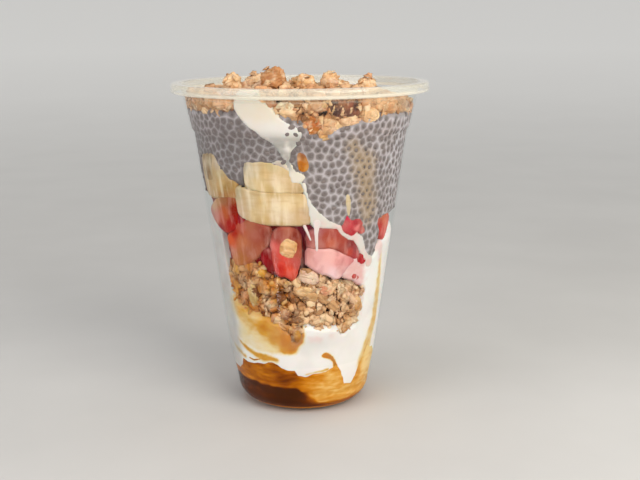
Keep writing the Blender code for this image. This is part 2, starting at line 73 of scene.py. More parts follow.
# %% [markdown]
# Colours are written as sRGB hex values, the way a paint chart gives them, and one function turns
# them into the linear numbers that shaders add and multiply. Another adds a node with its settings
# and links, so a material reads as a short list of steps.

# %% Colour and node helpers
def hex_colour(text):
    """Linear RGBA of an sRGB hex value such as #E8DED6."""
    parts = [int(text[i:i + 2], 16) / 255 for i in (1, 3, 5)]
    return (*[c / 12.92 if c <= 0.04045 else ((c + 0.055) / 1.055) ** 2.4 for c in parts], 1.0)


def add_node(tree, kind, settings=None, links=None, stops=(), **attributes):
    """Adds a node, sets its properties and sockets, and links sockets into it.

    A hex value becomes a linear colour, and a ramp's stops are (position, hex value) pairs.
    """
    node = tree.nodes.new(kind)
    for name, value in attributes.items():
        setattr(node, name, value)
    for name, value in (settings or {}).items():
        is_hex = isinstance(value, str) and value.startswith("#")
        node.inputs[name].default_value = hex_colour(value) if is_hex else value
    for name, socket in (links or {}).items():
        tree.links.new(socket, node.inputs[name])
    for place, (position, colour) in enumerate(stops):
        elements = node.color_ramp.elements
        element = elements[place] if place < len(elements) else elements.new(1.0)
        element.position, element.color = position, hex_colour(colour)
    return node


def start_material(name, settings):
    """A material with a Principled shader whose uniform values sit on its own sockets."""
    material = bpy.data.materials.new(name)
    material.use_nodes = True
    tree = material.node_tree
    shader = tree.nodes["Principled BSDF"]
    for socket, value in settings.items():
        shader.inputs[socket].default_value = value
    return material, tree, shader


def tinted(tree, colour, layers):
    """Lays tints over a colour, each one stronger as its value goes from low to high.

    A layer is (value, low, high, strength at high, hex value).
    """
    for value, low, high, most, tint in layers:
        share = add_node(
            tree, "ShaderNodeMapRange", {"From Min": low, "From Max": high, "To Max": most},
            {"Value": value})
        colour = add_node(tree, "ShaderNodeMix", {7: tint}, {0: share.outputs["Result"], 6: colour},
                          data_type="RGBA").outputs[2]
    return colour


def speckle(tree, size_mm, detail=3.0, stretch=(1, 1, 1)):
    """Noise in object space whose blotches are about a size in millimetres."""
    place = add_node(tree, "ShaderNodeTexCoord")
    turned_place = add_node(
        tree, "ShaderNodeMapping", {"Scale": stretch}, {"Vector": place.outputs["Object"]}
    )
    grain = add_node(
        tree, "ShaderNodeTexNoise", {"Scale": 0.5 / (size_mm * MM), "Detail": detail},
        {"Vector": turned_place.outputs["Vector"]},
    )
    return grain.outputs["Fac"]


print("a mid grey in linear light:", round(hex_colour("#808080")[0], 3))

# %% [markdown]
# Everything in the cup is placed by a wall angle, counted in degrees from the front to the right,
# and a height. A table of (angle, height) points gives the line where a layer meets the wall, and
# it is read with a smooth step between points, so the line has no corners.

# %% Places round the wall
SKIN = 0.6
PRESS = 0.03  # how far food reaches into the plastic, so that no air shows between
ARC = math.radians(1) * 36.0  # millimetres of wall for each degree, near the middle of the cup
PROFILE = [(7.5, 25.6), (18.0, 27.8), (103.2, 39.75), (104.6, 40.65), (117.3, 43.4), (140.0, 43.4)]


def inner_radius(height):
    """Radius of the cup's inner face, for one height or an array of them."""
    return np.interp(height, [h for h, _ in PROFILE], [r for _, r in PROFILE]) - SKIN


def eased(t):
    t = np.clip(t, 0.0, 1.0)
    return t * t * (3 - 2 * t)


def round_wall(points, angle):
    """Reads a closed table of (wall angle, value) points at one angle or an array of them."""
    stations = np.array([a for a, _ in points] + [points[0][0] + 360.0])
    values = np.array([v for _, v in points] + [points[0][1]])
    angle = (np.asarray(angle, dtype=float) - stations[0]) % 360 + stations[0]
    i = np.clip(np.searchsorted(stations, angle, side="right") - 1, 0, len(points) - 1)
    share = (angle - stations[i]) / (stations[i + 1] - stations[i])
    return values[i] + (values[i + 1] - values[i]) * eased(share)


def wall_points(angle, radius, height):
    """Points in millimetres from wall angles, radii and heights."""
    a = np.radians(angle)
    return np.stack([radius * np.sin(a), -radius * np.cos(a), height + 0 * a], axis=-1)


def edge_distance(angle, height, line):
    """Signed distance in millimetres from a line round the wall, positive above it."""
    stations = np.arange(-180, 180.1, 1.5)
    knots = np.stack([stations * ARC, round_wall(line, stations)], axis=-1)
    spots = np.stack([angle * ARC, height], axis=-1).reshape(-1, 2)
    best = np.full(len(spots), 1e9)
    for start, end in zip(knots, knots[1:]):
        run = end - start
        t = np.clip(((spots - start) @ run) / (run @ run), 0, 1)
        best = np.minimum(best, np.hypot(*(spots - start - t[:, None] * run).T))
    sign = np.where(height > round_wall(line, angle), 1.0, -1.0)
    return best.reshape(np.shape(angle)) * sign


def wander(points, size_mm, seed):
    """Smooth noise from -1 to 1 at points in millimetres."""
    shift = Vector((seed * 1.7, seed * -2.3, seed * 3.1))
    flat = np.asarray(points).reshape(-1, 3) / size_mm
    values = [noise.fractal(Vector(p) + shift, 0.6, 2.0, 3) for p in flat]
    return np.array(values).reshape(np.shape(points)[:-1])


print("inner radius half way up:", round(float(inner_radius(60.0)), 2), "mm")

# %% Mesh helpers
def new_object(name, points, faces, smooth=True):
    """A mesh object from points in millimetres, its faces turned outwards."""
    mesh = bpy.data.meshes.new(name)
    mesh.from_pydata((np.asarray(points) * MM).tolist(), [], faces)
    work = bmesh.new()
    work.from_mesh(mesh)
    bmesh.ops.recalc_face_normals(work, faces=work.faces)
    work.to_mesh(mesh)
    work.free()
    if smooth:
        mesh.shade_smooth()
    thing = bpy.data.objects.new(name, mesh)
    bpy.context.scene.collection.objects.link(thing)
    return thing


def store(thing, name, values):
    """Keeps one number for each vertex, for a material to read."""
    attribute = thing.data.attributes.new(name, "FLOAT", "POINT")
    attribute.data.foreach_set("value", np.asarray(values, dtype=np.float32).ravel())


def read_points(thing):
    """An object's vertices in millimetres."""
    flat = np.empty(3 * len(thing.data.vertices), dtype=np.float32)
    thing.data.vertices.foreach_get("co", flat)
    return flat.reshape(-1, 3).astype(float) / MM


def write_points(thing, points):
    thing.data.vertices.foreach_set("co", (np.asarray(points) * MM).astype(np.float32).ravel())
    thing.data.update()


def pressed(thing, into=PRESS):
    """Flattens whatever reaches past the cup's inner face against it."""
    points = read_points(thing)
    reach = np.hypot(points[:, 0], points[:, 1])
    limit = inner_radius(points[:, 2]) + into
    share = np.minimum(1.0, limit / np.maximum(reach, 1e-6))
    points[:, :2] *= share[:, None]
    write_points(thing, points)


def settled(thing, corners, give=0.25):
    """Moves each loose piece in from the wall until it reaches only a little past it."""
    points = read_points(thing).reshape(-1, corners, 3)
    reach = np.hypot(points[..., 0], points[..., 1])
    excess = (reach - inner_radius(points[..., 2])).max(axis=1) - give
    inward = -points[..., :2].mean(axis=1)
    inward /= np.linalg.norm(inward, axis=1)[:, None]
    points[..., :2] += (inward * np.clip(excess, 0, None)[:, None])[:, None, :]
    write_points(thing, points.reshape(-1, 3))
    pressed(thing)


def finished(thing, material, slot, *nodes):
    """Gives a piece its material and body, and hides the nodes that it stands for."""
    thing.data.materials.clear()
    thing.data.materials.append(material)
    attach(thing, "root")
    if nodes:
        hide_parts(*nodes)
    print(f"{thing.name}: {len(thing.data.polygons)} faces")


def fan(tip, first, sides):
    """Triangles from one point to every step of a ring."""
    return [[tip, first + k, first + (k + 1) % sides] for k in range(sides)]


def bands(first, rings, sides):
    """Quads between each ring of points and the next one."""
    starts = [first + ring * sides for ring in range(rings)]
    return [[low + k, low + (k + 1) % sides, high + (k + 1) % sides, high + k]
            for low, high in zip(starts, starts[1:]) for k in range(sides)]


def turned(name, section, sides):
    """Turns a section of (radius, height) points round Z, its two ends on the axis."""
    inner = section[1:-1]
    angles = np.arange(sides) * 360 / sides
    rings = [wall_points(angles, r, np.full(sides, h)) for r, h in inner]
    points = np.concatenate(rings + [[(0, 0, section[0][1])], [(0, 0, section[-1][1])]])
    last = len(inner) * sides
    faces = fan(last, 0, sides) + fan(last + 1, last - sides, sides)
    return new_object(name, points, faces + bands(0, len(inner), sides))


def wall_body(name, bottom, top, radius, columns, rows):
    """A closed body whose side is a radius function of (wall angle, height)."""
    angle, share = np.meshgrid(np.arange(columns) * 360 / columns - 180, np.linspace(0, 1, rows))
    height = bottom(angle) + (top(angle) - bottom(angle)) * share
    reach = radius(angle, height)
    side = wall_points(angle, reach, height).reshape(-1, 3)
    ends = [(0, 0, float(height[0].mean())), (0, 0, float(height[-1].mean()))]
    points = np.concatenate([side, ends])
    faces = bands(0, rows, columns) + fan(len(side), 0, columns)
    faces += fan(len(side) + 1, len(side) - columns, columns)
    thing = new_object(name, points, faces)
    spread = np.concatenate([angle.ravel(), [0, 0]]), np.concatenate([height.ravel(), [0, 0]])
    return thing, spread


print("mesh helpers ready")

# %% [markdown]
# ## The camera and the light
# The camera looks a little down on the cup from the front, as a person does at a counter. The
# lights are soft: a broad one on the right, a weaker one on the left, one straight above, and a
# slim card that draws the thin upright shine on the plastic.

# %% Camera, lights and floor
CAMERA_BACK, CAMERA_UP = 370.0, 142.2
LENS = 36 * 995 / 640
PITCH, YAW, ROLL = 0.2164, -0.0186, -0.0076

camera = bpy.data.objects.new("camera", bpy.data.cameras.new("camera"))
camera.data.sensor_width = 36
camera.data.lens = LENS
camera.matrix_world = (
    Matrix.Translation(Vector((0, -CAMERA_BACK, CAMERA_UP)) * MM)
    @ Matrix.Rotation(YAW, 4, "Z")
    @ Matrix.Rotation(math.pi / 2 - PITCH, 4, "X")
    @ Matrix.Rotation(ROLL, 4, "Z")
)
bpy.context.scene.collection.objects.link(camera)
bpy.context.scene.camera = camera
bpy.context.scene.view_settings.view_transform = "Standard"

LIGHTS = [
    # name, wall angle, distance, height, height it aims at, width, height of the panel, watts, colour
    ("key_panel", 38, 520, 330, 70, 420, 420, 2.9, "#FFFBF4"),
    ("fill_panel", -55, 620, 260, 70, 420, 420, 1.75, "#F8F8FF"),
    ("shine_card", -25.5, 61.3, 27, 27, 4, 30, 0.003, "#FFFFFF"),
]
for name, angle, distance, height, aim_height, wide, tall, watts, colour in LIGHTS:
    panel = bpy.data.lights.new(name, "AREA")
    panel.shape = "RECTANGLE"
    panel.size, panel.size_y = wide * MM, tall * MM
    panel.energy = watts
    panel.color = hex_colour(colour)[:3]
    lamp = bpy.data.objects.new(name, panel)
    spot = Vector(wall_points(angle, distance, height)) * MM
    aim = Vector((0, 0, aim_height * MM)) - spot
    lamp.matrix_world = Matrix.Translation(spot) @ aim.to_track_quat("-Z", "Y").to_matrix().to_4x4()
    # The slim card stands near the cup and only shines on the plastic.
    lamp.visible_diffuse = name != "shine_card"
    bpy.context.scene.collection.objects.link(lamp)

# A broad soft light straight above makes the floor the same pale tone near and far.
overhead = bpy.data.lights.new("overhead", "SUN")
overhead.energy, overhead.angle = 1.2, math.radians(80)
bpy.context.scene.collection.objects.link(bpy.data.objects.new("overhead", overhead))

world = bpy.data.worlds.new("soft_room")
world.use_nodes = True
world.node_tree.nodes["Background"].inputs["Color"].default_value = hex_colour("#E4E4E4")
world.node_tree.nodes["Background"].inputs["Strength"].default_value = 0.30
bpy.context.scene.world = world

FLOOR_SIDES = 72
FLOOR_RADII = [300, 900, 1300, 1700, 2200, 2700, 3200]
rings = [wall_points(np.arange(FLOOR_SIDES) * 360 / FLOOR_SIDES, r,
                     np.full(FLOOR_SIDES, 900 * max(0, (r - 900) / 2300) ** 2)) for r in FLOOR_RADII]
floor = new_object("floor", np.concatenate([[(0, 0, 0)]] + rings),
                   fan(0, 1, FLOOR_SIDES) + bands(1, len(FLOOR_RADII), FLOOR_SIDES))
paper, tree, shader = start_material("matt_paper", {"Roughness": 0.9})
tint = add_node(tree, "ShaderNodeValToRGB", links={"Fac": speckle(tree, 40)},
                stops=[(0.3, "#C3C1BD"), (0.7, "#C9C7C3")]).outputs["Color"]
place = add_node(tree, "ShaderNodeTexCoord")
away = add_node(tree, "ShaderNodeVectorMath", operation="LENGTH", links={0: place.outputs["Object"]})
paler = tinted(tree, tint, [(away.outputs["Value"], 0.25, 1.6, 1.0, "#F6F5F2")])
tree.links.new(paler, shader.inputs["Base Color"])
floor.data.materials.append(paper)
print("lights:", len(LIGHTS))

# %% [markdown]
# ## The cup
# The cup is thin clear PET, drawn into shape from a warm sheet and left with a rolled lip. Its
# section is a line with a thickness, so we write the middle of the skin once, offset it to both
# sides and turn it round the axis. A hundred and sixty sides make the rim a clean curve. Refraction
# in a skin this thin only shifts what is behind it by a hair, so the plastic is a see-through
# shader with a Fresnel shine, which keeps the food sharp.

# %% The cup's section
def arc(middle, radii, start, end, steps, square=1.0):
    """Points of an arc in a section, in degrees; a low square value gives it fuller corners."""
    turns = np.radians(np.linspace(start, end, steps))
    across, up = (np.sign(v) * np.abs(v) ** square for v in (np.cos(turns), np.sin(turns)))
    return [(middle[0] + radii[0] * c, middle[1] + radii[1] * s) for c, s in zip(across, up)]


HALF_SKIN = SKIN / 2
LIP_INNER_RADIUS, LIP_HEIGHT = 43.4, 3.7
lip_middle = (LIP_INNER_RADIUS + RIM_RADIUS) / 2
lip_tall = LIP_HEIGHT / 2 - HALF_SKIN
skin_line = [(0.0, 1.7), (9.0, 1.7), (12.0, 1.65), (13.4, 0.75), (14.5, HALF_SKIN)]
skin_line += arc((18.1, 7.5), (7.2, 7.2), -90, -12, 9)
skin_line += [(27.0, 16.6), (27.35, 17.6), (27.55, 18.4), (27.95, 20.4)]
skin_line += [(39.45, 103.2), (39.75, 103.9), (40.1, 104.35), (40.35, 104.8), (43.1, 117.3)]
skin_line += arc((lip_middle, CUP_HEIGHT - HALF_SKIN - lip_tall),
                 (RIM_RADIUS - lip_middle - HALF_SKIN, lip_tall), 165, -85, 25, 0.45)


def two_sides(line, thickness):
    """The outline of both faces of a line, from its first point and back."""
    line = np.array(line)
    run = np.gradient(line, axis=0)
    run /= np.hypot(*run.T)[:, None]
    normal = np.stack([-run[:, 1], run[:, 0]], axis=-1) * thickness / 2
    normal[0] = (0, thickness / 2)
    return np.concatenate([line + normal, (line - normal)[::-1]])


cup = turned("clear_cup", two_sides(skin_line, SKIN), 160)
side_points = 160 * (len(skin_line) - 1)
outer_face = np.concatenate([np.zeros(side_points), np.ones(side_points), [0, 1]])
store(cup, "open_air", np.maximum(0.22 * outer_face, eased((read_points(cup)[:, 2] - 116.5) / 1.0)))
print("skin:", SKIN, "mm, section points:", len(skin_line))

# %% Clear PET
# Clear PET: its index is about 1.57, so it mirrors a little face on and a lot at the edges. The
# lip is rolled from several layers, which gives it a milky, faintly yellow look. The bright bands
# in the lip's ramp, at its top and bottom edges, are painted highlights.
pet = bpy.data.materials.new("clear_drawn_PET")
pet.use_nodes = True
tree = pet.node_tree
tree.nodes.clear()
place = add_node(tree, "ShaderNodeTexCoord")
split = add_node(tree, "ShaderNodeSeparateXYZ", links={"Vector": place.outputs["Object"]})
lip_share = add_node(tree, "ShaderNodeMapRange",
                     {"From Min": 115.6 * MM, "From Max": 121.0 * MM, "To Max": 1.0},
                     {"Value": split.outputs["Z"]}).outputs["Result"]
# Painted highlights: the lip's ramp is brightest in thin bands at its top and bottom edges.
lip_milk_and_highlights = add_node(tree, "ShaderNodeValToRGB", links={"Fac": lip_share}, stops=[(0.0, "#000000"),
    (0.09, "#585858"), (0.15, "#202020"), (0.3, "#202020"), (0.36, "#B4B4B4"), (0.46, "#A0A0A0"),
    (0.55, "#646464"), (0.8, "#707070"), (0.93, "#8C8C8C"), (1.0, "#C4C4C4")]).outputs["Color"]
milky_share = add_node(tree, "ShaderNodeMapRange", {"From Min": 0.35, "From Max": 0.75, "To Max": 0.004},
                       {"Value": speckle(tree, 9.0)}).outputs["Result"]
milky_and_highlights = add_node(tree, "ShaderNodeMath", operation="ADD", links={0: lip_milk_and_highlights, 1: milky_share})
clear = add_node(tree, "ShaderNodeBsdfTransparent", {"Color": "#FCFDFD"})
gloss = add_node(tree, "ShaderNodeBsdfGlossy", {"Color": "#FFFFFF", "Roughness": 0.07})
cloud_and_highlights = add_node(tree, "ShaderNodeBsdfDiffuse", {"Color": "#FBF5E4", "Roughness": 0.3})
mirror = add_node(tree, "ShaderNodeFresnel", {"IOR": 1.45})
side = add_node(tree, "ShaderNodeNewGeometry")
# Inside the skin a mirror would only trap light, so a face shines from its open side alone.
open_side = add_node(tree, "ShaderNodeMath", operation="SUBTRACT", use_clamp=True, links={
    0: mirror.outputs["Fac"], 1: side.outputs["Backfacing"]})
air = add_node(tree, "ShaderNodeAttribute", attribute_name="open_air")
shine = add_node(tree, "ShaderNodeMath", operation="MULTIPLY",
                 links={0: open_side.outputs["Value"], 1: air.outputs["Fac"]})
body = add_node(tree, "ShaderNodeMixShader", links={
    "Fac": milky_and_highlights.outputs["Value"], 1: clear.outputs["BSDF"], 2: cloud_and_highlights.outputs["BSDF"]})
skin = add_node(tree, "ShaderNodeMixShader", links={
    "Fac": shine.outputs["Value"], 1: body.outputs["Shader"], 2: gloss.outputs["BSDF"]})
add_node(tree, "ShaderNodeOutputMaterial", links={"Surface": skin.outputs["Shader"]})
finished(cup, pet, "clear_plastic", "cup")

# %% [markdown]
# ## Layers against the plastic
# Honey, yogurt and chia pudding are soft, so each presses flat on the plastic where it touches it
# and turns away where its neighbour takes over. We make each one a closed body whose radius is a
# function of angle and height: the cup's radius inside the layer's own outline, and less outside
# it. Where two such bodies cross, the seam is as wavy as the outlines, with no gap between them.

# %% The outlines of the layers
HONEY_TOP = [(-180, 17), (-130, 15), (-95, 14), (-65, 14.6), (-59, 16.4), (-54, 19.4), (-44, 19.3),
             (-32, 19.9), (-25, 20.7), (-21, 20.2), (-17, 19), (-11, 18.2), (-7, 18.2), (-4, 16.3),
             (2, 15.8), (9, 16.7), (17, 17.1), (22, 18.6), (26, 19.5), (28, 18.5), (30, 17), (33, 14),
             (36, 10.9), (43, 10.1), (47, 12.8), (48.5, 14.8), (50, 17), (55, 21.2), (59, 23.5), (66, 22),
             (90, 16), (130, 14)]
YOGURT_TOP = [(-180, 45), (-150, 60), (-120, 66), (-90, 68), (-77, 71.8), (-62, 69.4), (-58.4, 67.5),
              (-57.2, 61), (-58.6, 54), (-56, 48), (-56.4, 42.6), (-50, 40), (-40, 37.8), (-27, 36.8),
              (-18, 34.6), (-14, 32.6), (-11, 29.6), (-8, 28.2), (-4.6, 28.4), (-1.6, 31), (1.6, 33.8),
              (6, 33.9), (16, 33), (24, 32.6), (27.5, 30.4), (32, 30.2), (35.5, 32), (42, 33.2),
              (45.8, 36), (47, 46), (48.5, 57.5), (62, 63), (75, 64), (95, 66), (120, 60), (150, 46)]
CHIA_FOOT = [(-180, 77), (-150, 74), (-120, 79), (-95, 80), (-84, 88), (-76, 95), (-68, 96.4),
             (-54, 97), (-49, 93.4), (-45, 91), (-42, 89.2), (-34, 88.8), (-32, 93.5),
             (-29.5, 95.6), (-12, 96.2), (-5, 95.2), (0, 92), (2, 86), (4, 82), (8, 78.2),
             (16, 74.6), (23, 73.4), (30, 75.4), (36, 72), (39, 66), (43, 61.5), (47, 58.6),
             (51, 60.5), (53.5, 66), (56, 74), (70, 75.5), (95, 74), (120, 78), (150, 75)]
CHIA_TOP = [(-180, 106.5), (-150, 108), (-110, 108.5), (-74, 111.4), (-34, 111.6), (-7, 111),
            (0, 108.7), (5, 104.8), (12, 103.2), (18, 107), (31, 108.3), (40, 110), (70, 109),
            (110, 105.5), (145, 106)]


def wall_capsule(angle, height, line):
    """How far inside a tapering streak each place is: (angle, height, half width) points."""
    line = np.array(line, dtype=float)
    middle = line[:, 0].mean()
    near_line = (np.ravel(angle) - middle + 180) % 360 - 180 + middle
    spots = np.stack([near_line * ARC, np.ravel(height)], axis=-1)
    best = np.full(len(spots), -1e9)
    for start, end in zip(line, line[1:]):
        foot = np.array([start[0] * ARC, start[1]])
        run = np.array([end[0] * ARC, end[1]]) - foot
        t = np.clip(((spots - foot) @ run) / (run @ run), 0, 1)
        away = np.hypot(*(spots - foot - t[:, None] * run).T)
        best = np.maximum(best, start[2] + (end[2] - start[2]) * t - away)
    return best.reshape(np.shape(angle))


def rounded(outline, times=2):
    """Cuts the corners of a closed outline, which rounds it."""
    line = np.array(outline, dtype=float)
    for _ in range(times):
        after = np.roll(line, -1, axis=0)
        line = np.stack([0.75 * line + 0.25 * after, 0.25 * line + 0.75 * after], axis=1)
        line = line.reshape(-1, 2)
    return line


def outline_inside(angle, height, outline, ripple=0.0, seed=0):
    """How far inside a closed outline of (angle, height) corners each place is."""
    corners = rounded(outline)
    middle = corners[:, 0].mean()
    near_line = (np.ravel(angle) - middle + 180) % 360 - 180 + middle
    spots = np.stack([near_line * ARC, np.ravel(height)], axis=-1)
    corners = corners * (ARC, 1)
    best, inside = np.full(len(spots), 1e9), np.zeros(len(spots), dtype=bool)
    for start, end in zip(corners, np.roll(corners, -1, axis=0)):
        run = end - start
        t = np.clip(((spots - start) @ run) / max(run @ run, 1e-9), 0, 1)
        best = np.minimum(best, np.hypot(*(spots - start - t[:, None] * run).T))
        if start[1] != end[1]:
            crossing = start[0] + (spots[:, 1] - start[1]) * run[0] / run[1]
            inside ^= ((start[1] > spots[:, 1]) != (end[1] > spots[:, 1])) & (
                spots[:, 0] < crossing)
    signed = np.where(inside, best, -best)
    if ripple:
        places = np.stack([spots[:, 0], spots[:, 1], 0 * spots[:, 0]], axis=-1)
        signed = signed + ripple * wander(places, 3.0, seed)
    return signed.reshape(np.shape(angle))


def shares_of(angle, height, touches, soft):
    """How much each (wall angle, height, ...) touch counts at each place; the shares add up to 1."""
    weights = []
    for spot, level, *_ in touches:
        away = (((angle - spot + 180) % 360 - 180) * ARC) ** 2 + (height - level) ** 2
        weights.append(1 / (away + soft ** 2) ** 2)
    return np.stack(weights, axis=-1) / np.sum(weights, axis=0)[:, None]


def sunk(inside, slope=0.8, soft=0.5):
    """How deep a surface lies where it is outside its layer, from a signed distance inside."""
    return slope * soft * np.logaddexp(0, -(inside + 0.4) / soft)


def wall_places(thing):
    """The wall angle and height of every vertex of a piece, with its points."""
    points = read_points(thing)
    return np.degrees(np.arctan2(points[:, 0], -points[:, 1])), points[:, 2], points


print("wall per degree:", round(ARC, 3), "mm")

# %% [markdown]
# ## Honey
# The pool at the bottom is runny honey. It looks golden where the layer is thin against the light
# and nearly black where it is deep, so its colour follows an attribute for depth, which is low on
# the right and in the streaks, and high at the bottom left. At the foot the same attribute holds
# painted shade, a dark band in the cup's curved corner, and a painted golden line of light along
# the base edge.

# %% Honey pool
DEEP_LINE = [(-180, 9), (-110, 9.5), (-65, 12), (-46, 12), (-36, 11.4), (-22, 11.5), (-7, 11.1), (2, 8.7),
             (8, 7), (14, 5), (24, 3), (50, 1), (110, 3), (150, 7)]
CORNER_MIDDLE, CORNER_REACH = (18.1, 7.5), 6.9


def honey_radius(angle, height):
    corner = CORNER_MIDDLE[0] + np.sqrt(
        np.maximum(CORNER_REACH ** 2 - np.minimum(height - CORNER_MIDDLE[1], 0) ** 2, 0.01)
    )
    wall = np.where(height < CORNER_MIDDLE[1], corner, inner_radius(height)) + PRESS
    over = round_wall(HONEY_TOP, angle) + 0.4 * wander(wall_points(angle, wall, height), 5, 2)
    return wall - sunk(over - height, 0.9, 0.3)


honey, (angle, height) = wall_body(
    "honey_pool", lambda a: np.full_like(a, 0.65), lambda a: round_wall(HONEY_TOP, a) + 3.0,
    honey_radius, 420, 70,
)
points = read_points(honey)
flow = wander(points * (0.30, 0.30, 1.15), 2.6, 5)
fold = wander(points * (0.5, 0.5, 1.4) + (0, 0, 2 * flow[0]), 1.5, 6)
below = round_wall(DEEP_LINE, angle) + 0.9 * flow - points[:, 2]
clear = eased((angle + 8) / 30) * eased((125 - angle) / 40)
amber = 0.50 - 0.27 * clear + 0.16 * flow + 0.10 * fold
amber += 0.16 * np.exp(-((angle + 16) / 9) ** 2) * (1 - clear)
amber += 0.42 * eased(below / 1.6 + 0.3) * (1 - 0.6 * clear)
# Painted shade and light at the foot: a dark band below 5 mm where the cup's curved corner is in shade, and
# a golden line below 3 mm where its base edge catches the light.
band = eased((5.0 - points[:, 2]) / 1.4)
amber = amber + (0.86 - amber) * band * (1 - 0.5 * clear)
amber = amber + (0.40 - amber) * eased((2.9 - points[:, 2]) / 0.7)
amber -= 0.24 * eased((angle - 51) / 8) * eased((points[:, 2] - 8) / 7) * (angle < 120)
store(honey, "depth", np.clip(amber, 0, 1))

# Runny honey: glossy, clear amber, darker the more of it there is behind the surface; at the foot
# its depth attribute also holds painted shade and a painted line of light.
runny_honey, tree, shader = start_material(
    "runny_honey", {"Roughness": 0.2, "IOR": 1.49, "Specular IOR Level": 0.05,
                    "Subsurface Weight": 0.10, "Subsurface Scale": 1.2 * MM},
)
depth = add_node(tree, "ShaderNodeAttribute", attribute_name="depth")
stops = [(0.0, "#F0CB86"), (0.2, "#DEA248"), (0.36, "#CC7E10"), (0.5, "#B26400"),
         (0.64, "#904600"), (0.8, "#5A2400"), (1.0, "#421A00")]
colour_tones = add_node(tree, "ShaderNodeValToRGB", links={"Fac": depth.outputs["Fac"]},
                        stops=stops).outputs["Color"]
tree.links.new(colour_tones, shader.inputs["Base Color"])
finished(honey, runny_honey, "honey", "honey")

# %% [markdown]
# ## Yogurt
# Thick strained yogurt is matt to satin, scatters light inside, and takes honey on its surface in
# bands where the two were stirred. The bands lie flush under the plastic, so they are drawn as an
# attribute on the yogurt: each is a streak or a patch with its own path, softness and strength.

# %% Honey in the yogurt
HONEY_STREAKS = [
    # strength, softness in mm, wobble in mm, then (wall angle, height, half width) along it
    (0.5, 1.6, 0.3,
     [(-58, 27.2, 0.5), (-52, 25.6, 0.8), (-45, 24.0, 1.0), (-38, 22.9, 1.3), (-31, 22.4, 1.5),
      (-25, 22.4, 1.4), (-20, 22.2, 0.8)]),
    # A thin dark brown line, drawn with the honey's colours.
    (0.88, 0.4, 0.1, [(-46, 20.9, 0.15), (-41, 20.5, 0.3), (-35, 21.4, 0.15)]),
    (0.45, 1.6, 0.5, [(-66, 23.5, 0.7), (-58, 22.0, 0.9), (-51, 20.8, 0.8)]),
    (0.40, 1.4, 0.3, [(-32, 21.6, 0.8), (-26, 22.2, 0.9), (-21, 21.6, 0.6)]),
    (0.42, 0.7, 0.2, [(2, 16.6, 0.3), (10, 17.5, 0.4), (19, 18.2, 0.5)]),
    (0.37, 2.4, 0.4,
     [(61, 58.0, 0.8), (64, 45.0, 2.2), (64.5, 32.6, 3.0), (60.5, 26.5, 3.4), (58, 22.0, 4.2),
      (55, 18.0, 4.6)]),
    (0.62, 1.0, 0.3, [(59, 24.4, 0.4), (54, 20.0, 0.5), (50.5, 17.0, 0.7), (49, 14.4, 0.5)]),
    (0.55, 1.6, 0.6, [(150, 30.0, 0.8), (165, 27.0, 1.8), (185, 24.0, 1.8), (200, 22.0, 0.8)]),
    (0.50, 1.4, 0.6, [(-128, 48.0, 0.5), (-122, 36.0, 1.5), (-118, 26.0, 2.0), (-112, 18.0, 2.4)]),
    (0.48, 1.8, 0.6, [(95, 40.0, 0.6), (105, 30.0, 1.8), (118, 24.0, 2.2), (130, 18.0, 2.0)]),
]
HONEY_PATCHES = [
    # softness, wobble, closed outline, then touches of strength: (wall angle, height, strength)
    (2.6, 0.5,
     [(-62, 44), (-58, 30), (-53, 26.6), (-42, 25.2), (-31, 24.4), (-18, 24.5), (-11, 25), (-5, 25.5),
      (-2.4, 28), (1, 30), (1, 36), (-8, 42), (-30, 44), (-50, 46)],
     [(-50, 38, 0.44), (-40, 36, 0.44), (-30, 33, 0.6), (-22, 30.4, 0.56), (-14, 28.6, 0.66),
      (-8, 27, 0.66), (-50, 30, 0.22), (-40, 28, 0.2), (-30, 26.6, 0.17), (-20, 25.8, 0.26),
      (-12, 26.2, 0.5), (-5, 27, 0.7), (-46, 32.6, 0.24), (-57, 34, 0.03), (-3, 29.6, 0.76),
      (-38, 39, 0.4), (-24, 34.5, 0.5), (-35, 30.6, 0.26), (-43, 33.6, 0.4), (-27, 29, 0.32)]),
    (0.7, 0.2,
     [(13.3, 23.8), (15, 24.8), (18, 25), (22, 23.6), (26, 20.6), (28, 17), (24, 17), (23.4, 20),
      (22, 21.6), (19.5, 22.3), (16, 22.8)],
     [(15, 24, 0.56), (20, 23.4, 0.66), (25, 19, 0.72)]),
]
STAINS = [(1.0, [(33, 58.4), (42, 58), (45, 55), (43, 50.5), (35, 50), (27, 52.5), (27, 55), (30, 57)]),
          (0.34, [(2, 31.6), (5, 29.6), (9, 30), (13, 29.4), (14, 31), (9, 32)]),
          (0.3, [(18, 31.6), (22, 30), (24, 30.6), (21, 32.6)]),
          (0.55, [(51, 66), (56, 68), (60, 66), (62, 60), (60, 56), (57, 60), (53, 62)])]


def yogurt_inside(angle, height):
    wall = inner_radius(height)
    below = height - round_wall(HONEY_TOP, angle) - 0.4 * wander(
        wall_points(angle, wall, height), 5, 2)
    ripple = wander(wall_points(angle, wall, height), 5, 8)
    return np.minimum(below, -edge_distance(angle, height, YOGURT_TOP) + 0.5 * ripple)


